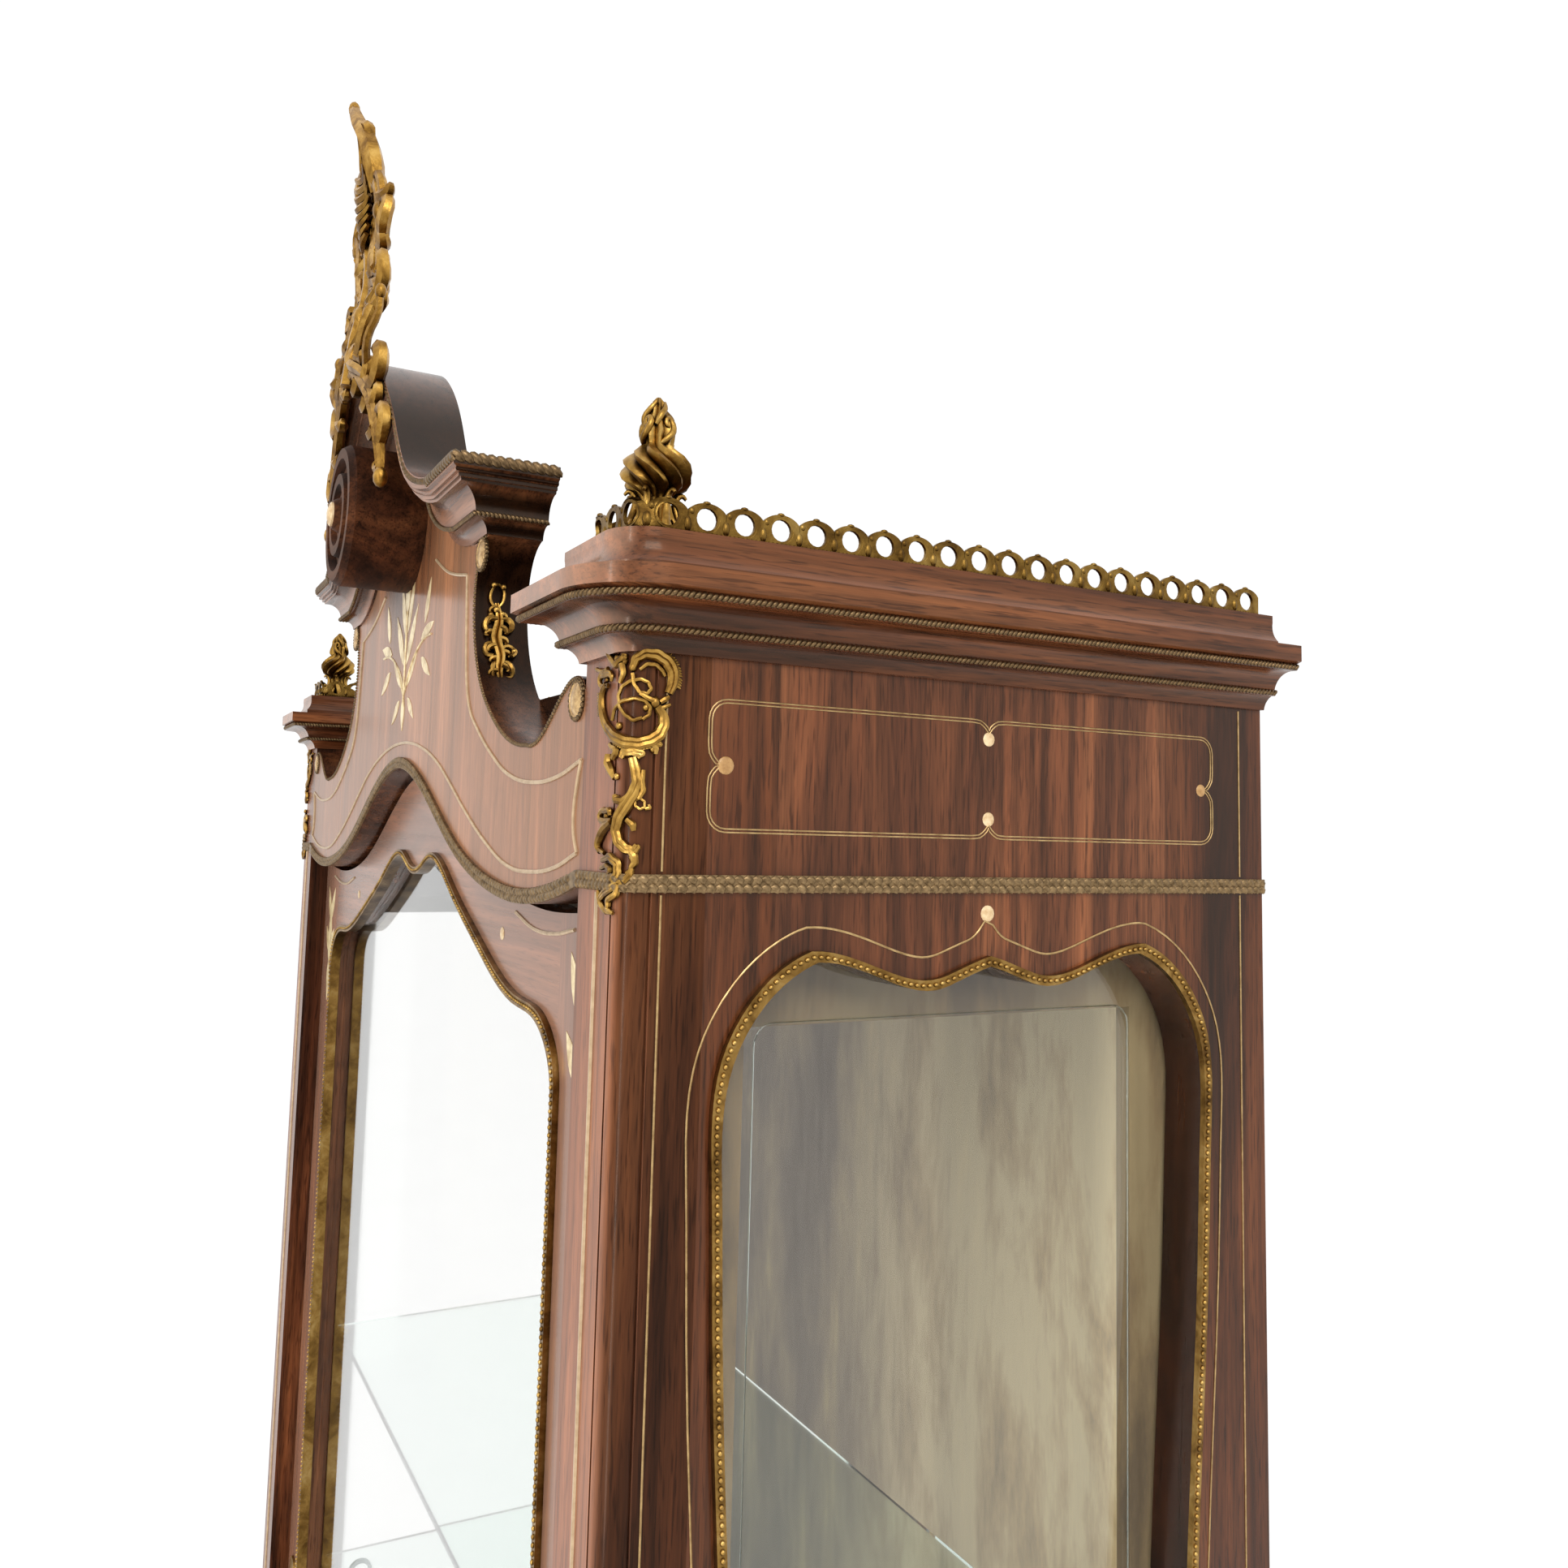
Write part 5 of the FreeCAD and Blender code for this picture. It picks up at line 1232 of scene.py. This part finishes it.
# brass stringing and bone dots on the sides
stringing = {"line": 0.0009, "pair": 0.0009, "single": 0.0013, "front": 0.0027, "proud": 0.0001,
             "friezeHalf": 0.181, "friezeLow": 1.632, "friezeHigh": 1.700, "corner": 0.010,
             "cusp": 0.0065, "postLine": 0.206, "footGap": 0.03, "bandGap": 0.006, "topGap": 0.002,
             "windowGap": 0.0125, "windowCusp": 0.014, "cuspRise": 0.75, "cuspBelow": 0.1,
             "step": 0.003, "windowStep": 0.0025,
             "cuspShape": [(0, 1), (0.35, 0.45), (1, 0.08), (1.7, 0)]}


def doubled(points, normal):
    # the two thin lines of a double stringing
    fine = evenly(points, stringing["step"], True)
    return [shifted(fine, normal, side * stringing["pair"], True) for side in (-1, 1)]


def friezeOutline(x):
    # a long panel with rounded corners and a small cusp in the middle of each side
    half, low, high = stringing["friezeHalf"], stringing["friezeLow"], stringing["friezeHigh"]
    r, c = stringing["corner"], stringing["cusp"]
    middleZ = (low + high) / 2
    run = [(c * u, high - c * v) for u, v in stringing["cuspShape"]]
    run += [(half - r + r * math.sin(a), high - r + r * math.cos(a))
            for a in (i * quarter / 5 for i in range(6))]
    run += [(half - c * v, middleZ + c * u) for u, v in stringing["cuspShape"][::-1]]
    run += [(u, 2 * middleZ - v) for u, v in run[-2::-1]]
    return [Vector((x, midY + u, v)) for u, v in run + [(-u, v) for u, v in run[-2:0:-1]]]


sideSkin = halfWidth + stringing["proud"]
windowLine = shifted(evenly(outer, stringing["windowStep"], True), toSide, stringing["windowGap"], True)
windowLine = [Vector((sideSkin, p.y, p.z)) for p in windowLine]
for point in windowLine:
    if point.z > bands["z"] - stringing["cuspBelow"]:
        near = max(0, 1 - abs(point.y - midY) / stringing["windowCusp"])
        point.z += stringing["windowCusp"] * stringing["cuspRise"] * near * near
frieze = tube("friezeLines", doubled(friezeOutline(sideSkin), toSide), stringing["line"], True)
window = tube("windowLine", [windowLine], stringing["single"], True)
postFoot, bandGap = postLow.z + stringing["footGap"], stringing["bandGap"]
uprights = [[Vector((sideSkin, y, z)) for z in ends]
            for y in (midY - stringing["postLine"], midY + stringing["postLine"])
            for ends in ((postFoot, bands["z"] - bandGap),
                         (bands["z"] + bandGap, corniceZ - stringing["topGap"]))]
uprights = tube("sideUprights", uprights, stringing["single"])
dressPair(joined("sideStringing", [frieze, window, uprights]), brassLine)

# the line of the bevel in the side glass, a tall panel with rounded corners
bevel = {"half": 0.1355, "top": 1.527, "bottomGap": 0.034, "corner": 0.012, "line": 0.0009, "proud": 0.0002}
glassLow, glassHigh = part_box("side_glass_right")
bevelLine, r = [], bevel["corner"]
high, low = bevel["top"] - r, glassLow.z + bevel["bottomGap"] + r
for i, (side, z) in enumerate(((1, high), (-1, high), (-1, low), (1, low))):
    centre = Vector((midY + side * (bevel["half"] - r), z, 0))
    bevelLine += [Vector((glassHigh.x + bevel["proud"], p.x, p.y))
                  for p in arc(centre, r, 90 * i, 90 * i + 90, 6)]
dressPair(tube("glassBevel", [bevelLine], bevel["line"], True), shelfGlass)

# bone and amber dots: heights or places along the frieze, each with its share of the size
dotLook = {"size": 0.0042, "flat": 0.18, "frieze": [(1.6895, 1), (1.6425, 1)], "overWindow": 0.024,
           "windowShare": 1.15, "ends": [(-0.1715, 1.15), (0.1715, 0.95)], "endZ": 1.666,
           "railShare": 1.1, "centred": 10}


def dots(name, spots, normal):
    flat = tuple(dotLook["flat"] if n else 1 for n in normal)
    return joined(name, [ball(flat, spot, dotLook["size"] * share, 16, 8) for spot, share in spots])


topZ = max(outer, key=lambda p: p.z - abs(p.y - midY) * dotLook["centred"]).z + dotLook["overWindow"]
spots = [((halfWidth, midY, z), share) for z, share in dotLook["frieze"] + [(topZ, dotLook["windowShare"])]]
dressPair(dots("sideDots", spots, toSide), bone)
spots = [((halfWidth, midY + y, dotLook["endZ"]), share) for y, share in dotLook["ends"]]
dressPair(dots("endDots", spots, toSide), amber)

# stringing on the front board and the door's top rail
frontSkin = frontY - stringing["proud"]
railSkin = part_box("door_top_rail")[0].y - stringing["proud"]
frontLook = {
    "panel": [[(0.101, 1.848), (0.140, 1.832), (0.166, 1.825), (0.204, 1.818)],
              [(0.204, 1.818), (0.208, 1.790), (0.212, 1.760), (0.218, 1.735), (0.230, 1.715), (0.252, 1.700),
               (0.292, 1.680), (0.331, 1.666), (0.383, 1.659), (0.433, 1.661), (0.472, 1.669)],
              [(0.472, 1.669), (0.467, 1.657), (0.463, 1.642), (0.464, 1.629), (0.470, 1.618)],
              [(0.470, 1.618), (0.434, 1.609), (0.390, 1.605), (0.340, 1.607), (0.289, 1.620), (0.230, 1.642),
               (0.180, 1.664), (0.135, 1.682), (0.078, 1.696), (0.030, 1.702), (0.0, 1.703)]],
    "rail": [(0.296, 1.575), (0.337, 1.567), (0.380, 1.567), (0.415, 1.572)],
    "railDot": (0.266, 1.5585), "postX": 0.504, "stem": 0.0022,
    "leafStep": 0.00002, "leafSteps": 8, "leafTaper": 0.8,
    "pairs": [(0.004, 1.752, 32, 0.052, 0.012), (0.004, 1.772, 52, 0.062, 0.014),
              (0.005, 1.800, 68, 0.056, 0.012), (0.058, 1.788, 12, 0.046, 0.011),
              (0.070, 1.800, 66, 0.040, 0.012), (0.016, 1.742, -36, 0.034, 0.009),
              (0.062, 1.772, -28, 0.040, 0.010)],
    "singles": [(0.0, 1.816, 90, 0.048, 0.018), (0.0, 1.744, -90, 0.030, 0.012)],
    "stems": [[(0.0, 1.735), (0.0, 1.78), (0.0, 1.82)],
              [(0.0, 1.745), (0.03, 1.772), (0.07, 1.787), (0.095, 1.788)]],
    "stile": [(0.431, 1.470, 90, 0.070, 0.022), (0.431, 1.520, 62, 0.044, 0.015),
              (0.431, 1.520, 118, 0.044, 0.015), (0.431, 1.475, -90, 0.046, 0.017),
              (0.429, 1.484, 128, 0.036, 0.014), (0.433, 1.484, 52, 0.036, 0.014)]}


def leafOutline(x, z, turn, length, width):
    # an almond-shaped leaf, from its base
    a = math.radians(turn)
    way, aside = Vector((math.cos(a), math.sin(a), 0)), Vector((-math.sin(a), math.cos(a), 0))
    steps, taper = frontLook["leafSteps"], frontLook["leafTaper"]
    rim = [(i / steps, math.sin(math.pi * (i / steps) ** taper) * width / 2) for i in range(steps + 1)]
    rim += [(u, -w) for u, w in rim[-2:0:-1]]
    return [Vector((x, z, 0)) + way * u * length + aside * w for u, w in rim]


def leafSheet(name, leaves, base):
    # flat leaves let into the veneer, each a hair higher than the one before, so that no two faces coincide
    sheets = []
    for i, leaf in enumerate(leaves):
        sheet = plate(name, [leafOutline(*leaf)], stringing["proud"] + i * frontLook["leafStep"])
        sheet.matrix_world = base
        sheets.append(settle())
    return joined(name, sheets)


def onFront(points, y):
    return [Vector((x, y, z)) for x, z in points]


def inlaid(name, runs, width):
    # a smooth line let into the front
    return strokes(name, [[(spot, width / 2) for spot in run] for run in runs], 4, 1)


frontLines = [onFront(run, frontSkin) for run in frontLook["panel"]]
frontLines += [onFront([(frontLook["postX"], postFoot), (frontLook["postX"], bands["z"] - bandGap)],
                       frontSkin)]
dressPair(inlaid("frontStringing", frontLines, stringing["front"]), paleLine)
railLine = inlaid("railStringing", [onFront(frontLook["rail"], railSkin)], stringing["front"])
railLine = joined("railStringing", [railLine, mirroredCopy(railLine, "railStringingLeft")])
dress(railLine, paleLine, "door")
dotX, dotZ = frontLook["railDot"]
railSpots = [((side * dotX, railSkin, dotZ), dotLook["railShare"]) for side in (-1, 1)]
dress(dots("railDots", railSpots, toFront), bone, "door")

# leaf sprays let into the pediment and the door's stiles
pairs = frontLook["pairs"] + [(-x, z, 180 - turn, *size) for x, z, turn, *size in frontLook["pairs"]]
spray = leafSheet("pedimentSpray", pairs + frontLook["singles"], frontPlane(frontSkin))
stems = frontLook["stems"] + [[(-x, z) for x, z in stem] for stem in frontLook["stems"][1:]]
stems = inlaid("sprayStems", [onFront(stem, frontSkin) for stem in stems], frontLook["stem"])
dress(joined("pedimentSpray", [spray, stems]), leafInlay, "cabinet")
stileSpray = leafSheet("stileSpray", frontLook["stile"], frontPlane(railSkin))
stileSpray = joined("stileSpray", [stileSpray, mirroredCopy(stileSpray, "stileSprayLeft")])
dress(stileSpray, leafInlay, "door")
print("cabinet: stringing and inlay")

# camera at the photograph's place
shot = {"spot": (1.14393, -0.42968, 1.62939), "right": (0.47314, 0.88066, 0.02413),
        "up": (0.07190, -0.06589, 0.99523), "back": (0.87805, -0.46915, -0.09450), "lens": 29.42,
        "sensor": 36, "shift": (0.0036, -0.0438), "near": 0.02}
pickNone()
bpy.ops.object.camera_add()
camera = bpy.context.object
camera.matrix_world = plane(shot["right"], shot["up"], shot["back"], shot["spot"])
camera.data.lens, camera.data.sensor_width = shot["lens"], shot["sensor"]
camera.data.shift_x, camera.data.shift_y = shot["shift"]
camera.data.clip_start = shot["near"]
bpy.context.scene.camera = camera

# pale floor, white surroundings and soft lights: place, target, size and power
studio = {"world": 1.05, "floorSize": 60, "floor": [(0.3, (0.96, 0.96, 0.955)), (0.7, (0.98, 0.98, 0.975))],
          "floorScale": 3.0, "floorRough": 0.9,
          "keyLight": ((2.4, -0.6, 3.0), (0.5, 0.0, 1.5), (1.4, 1.4), 26.0),
          "columnLight": ((1.3, -2.1, 1.3), (0.53, -0.19, 1.3), (0.12, 2.2), 14.0)}
pickNone()
bpy.ops.mesh.primitive_plane_add(size=studio["floorSize"])
floor = bpy.context.object
floor.name = "studioFloor"
floorFinish, tree, shader, spot = finish("studioFloor")
fill(tree, shader, {"Base Color": ramp(tree, noise(tree, spot, studio["floorScale"]), studio["floor"]),
                    "Roughness": studio["floorRough"]})
floor.data.materials.append(floorFinish)
world = bpy.data.worlds.new("studioWorld")
world.use_nodes = True
fill(world.node_tree, world.node_tree.nodes["Background"],
     {"Color": (1, 1, 1, 1), "Strength": studio["world"]})
bpy.context.scene.world = world
for name in ("keyLight", "columnLight"):
    spot, target, size, power = studio[name]
    pickNone()
    bpy.ops.object.light_add(type="AREA", location=spot)
    lamp = bpy.context.object
    lamp.name = name
    lamp.data.shape, lamp.data.energy = "RECTANGLE", power
    lamp.data.size, lamp.data.size_y = size
    lamp.rotation_euler = (Vector(spot) - Vector(target)).to_track_quat("Z", "Y").to_euler()
bpy.context.scene.view_settings.view_transform = "Standard"
print("cabinet: camera and light")
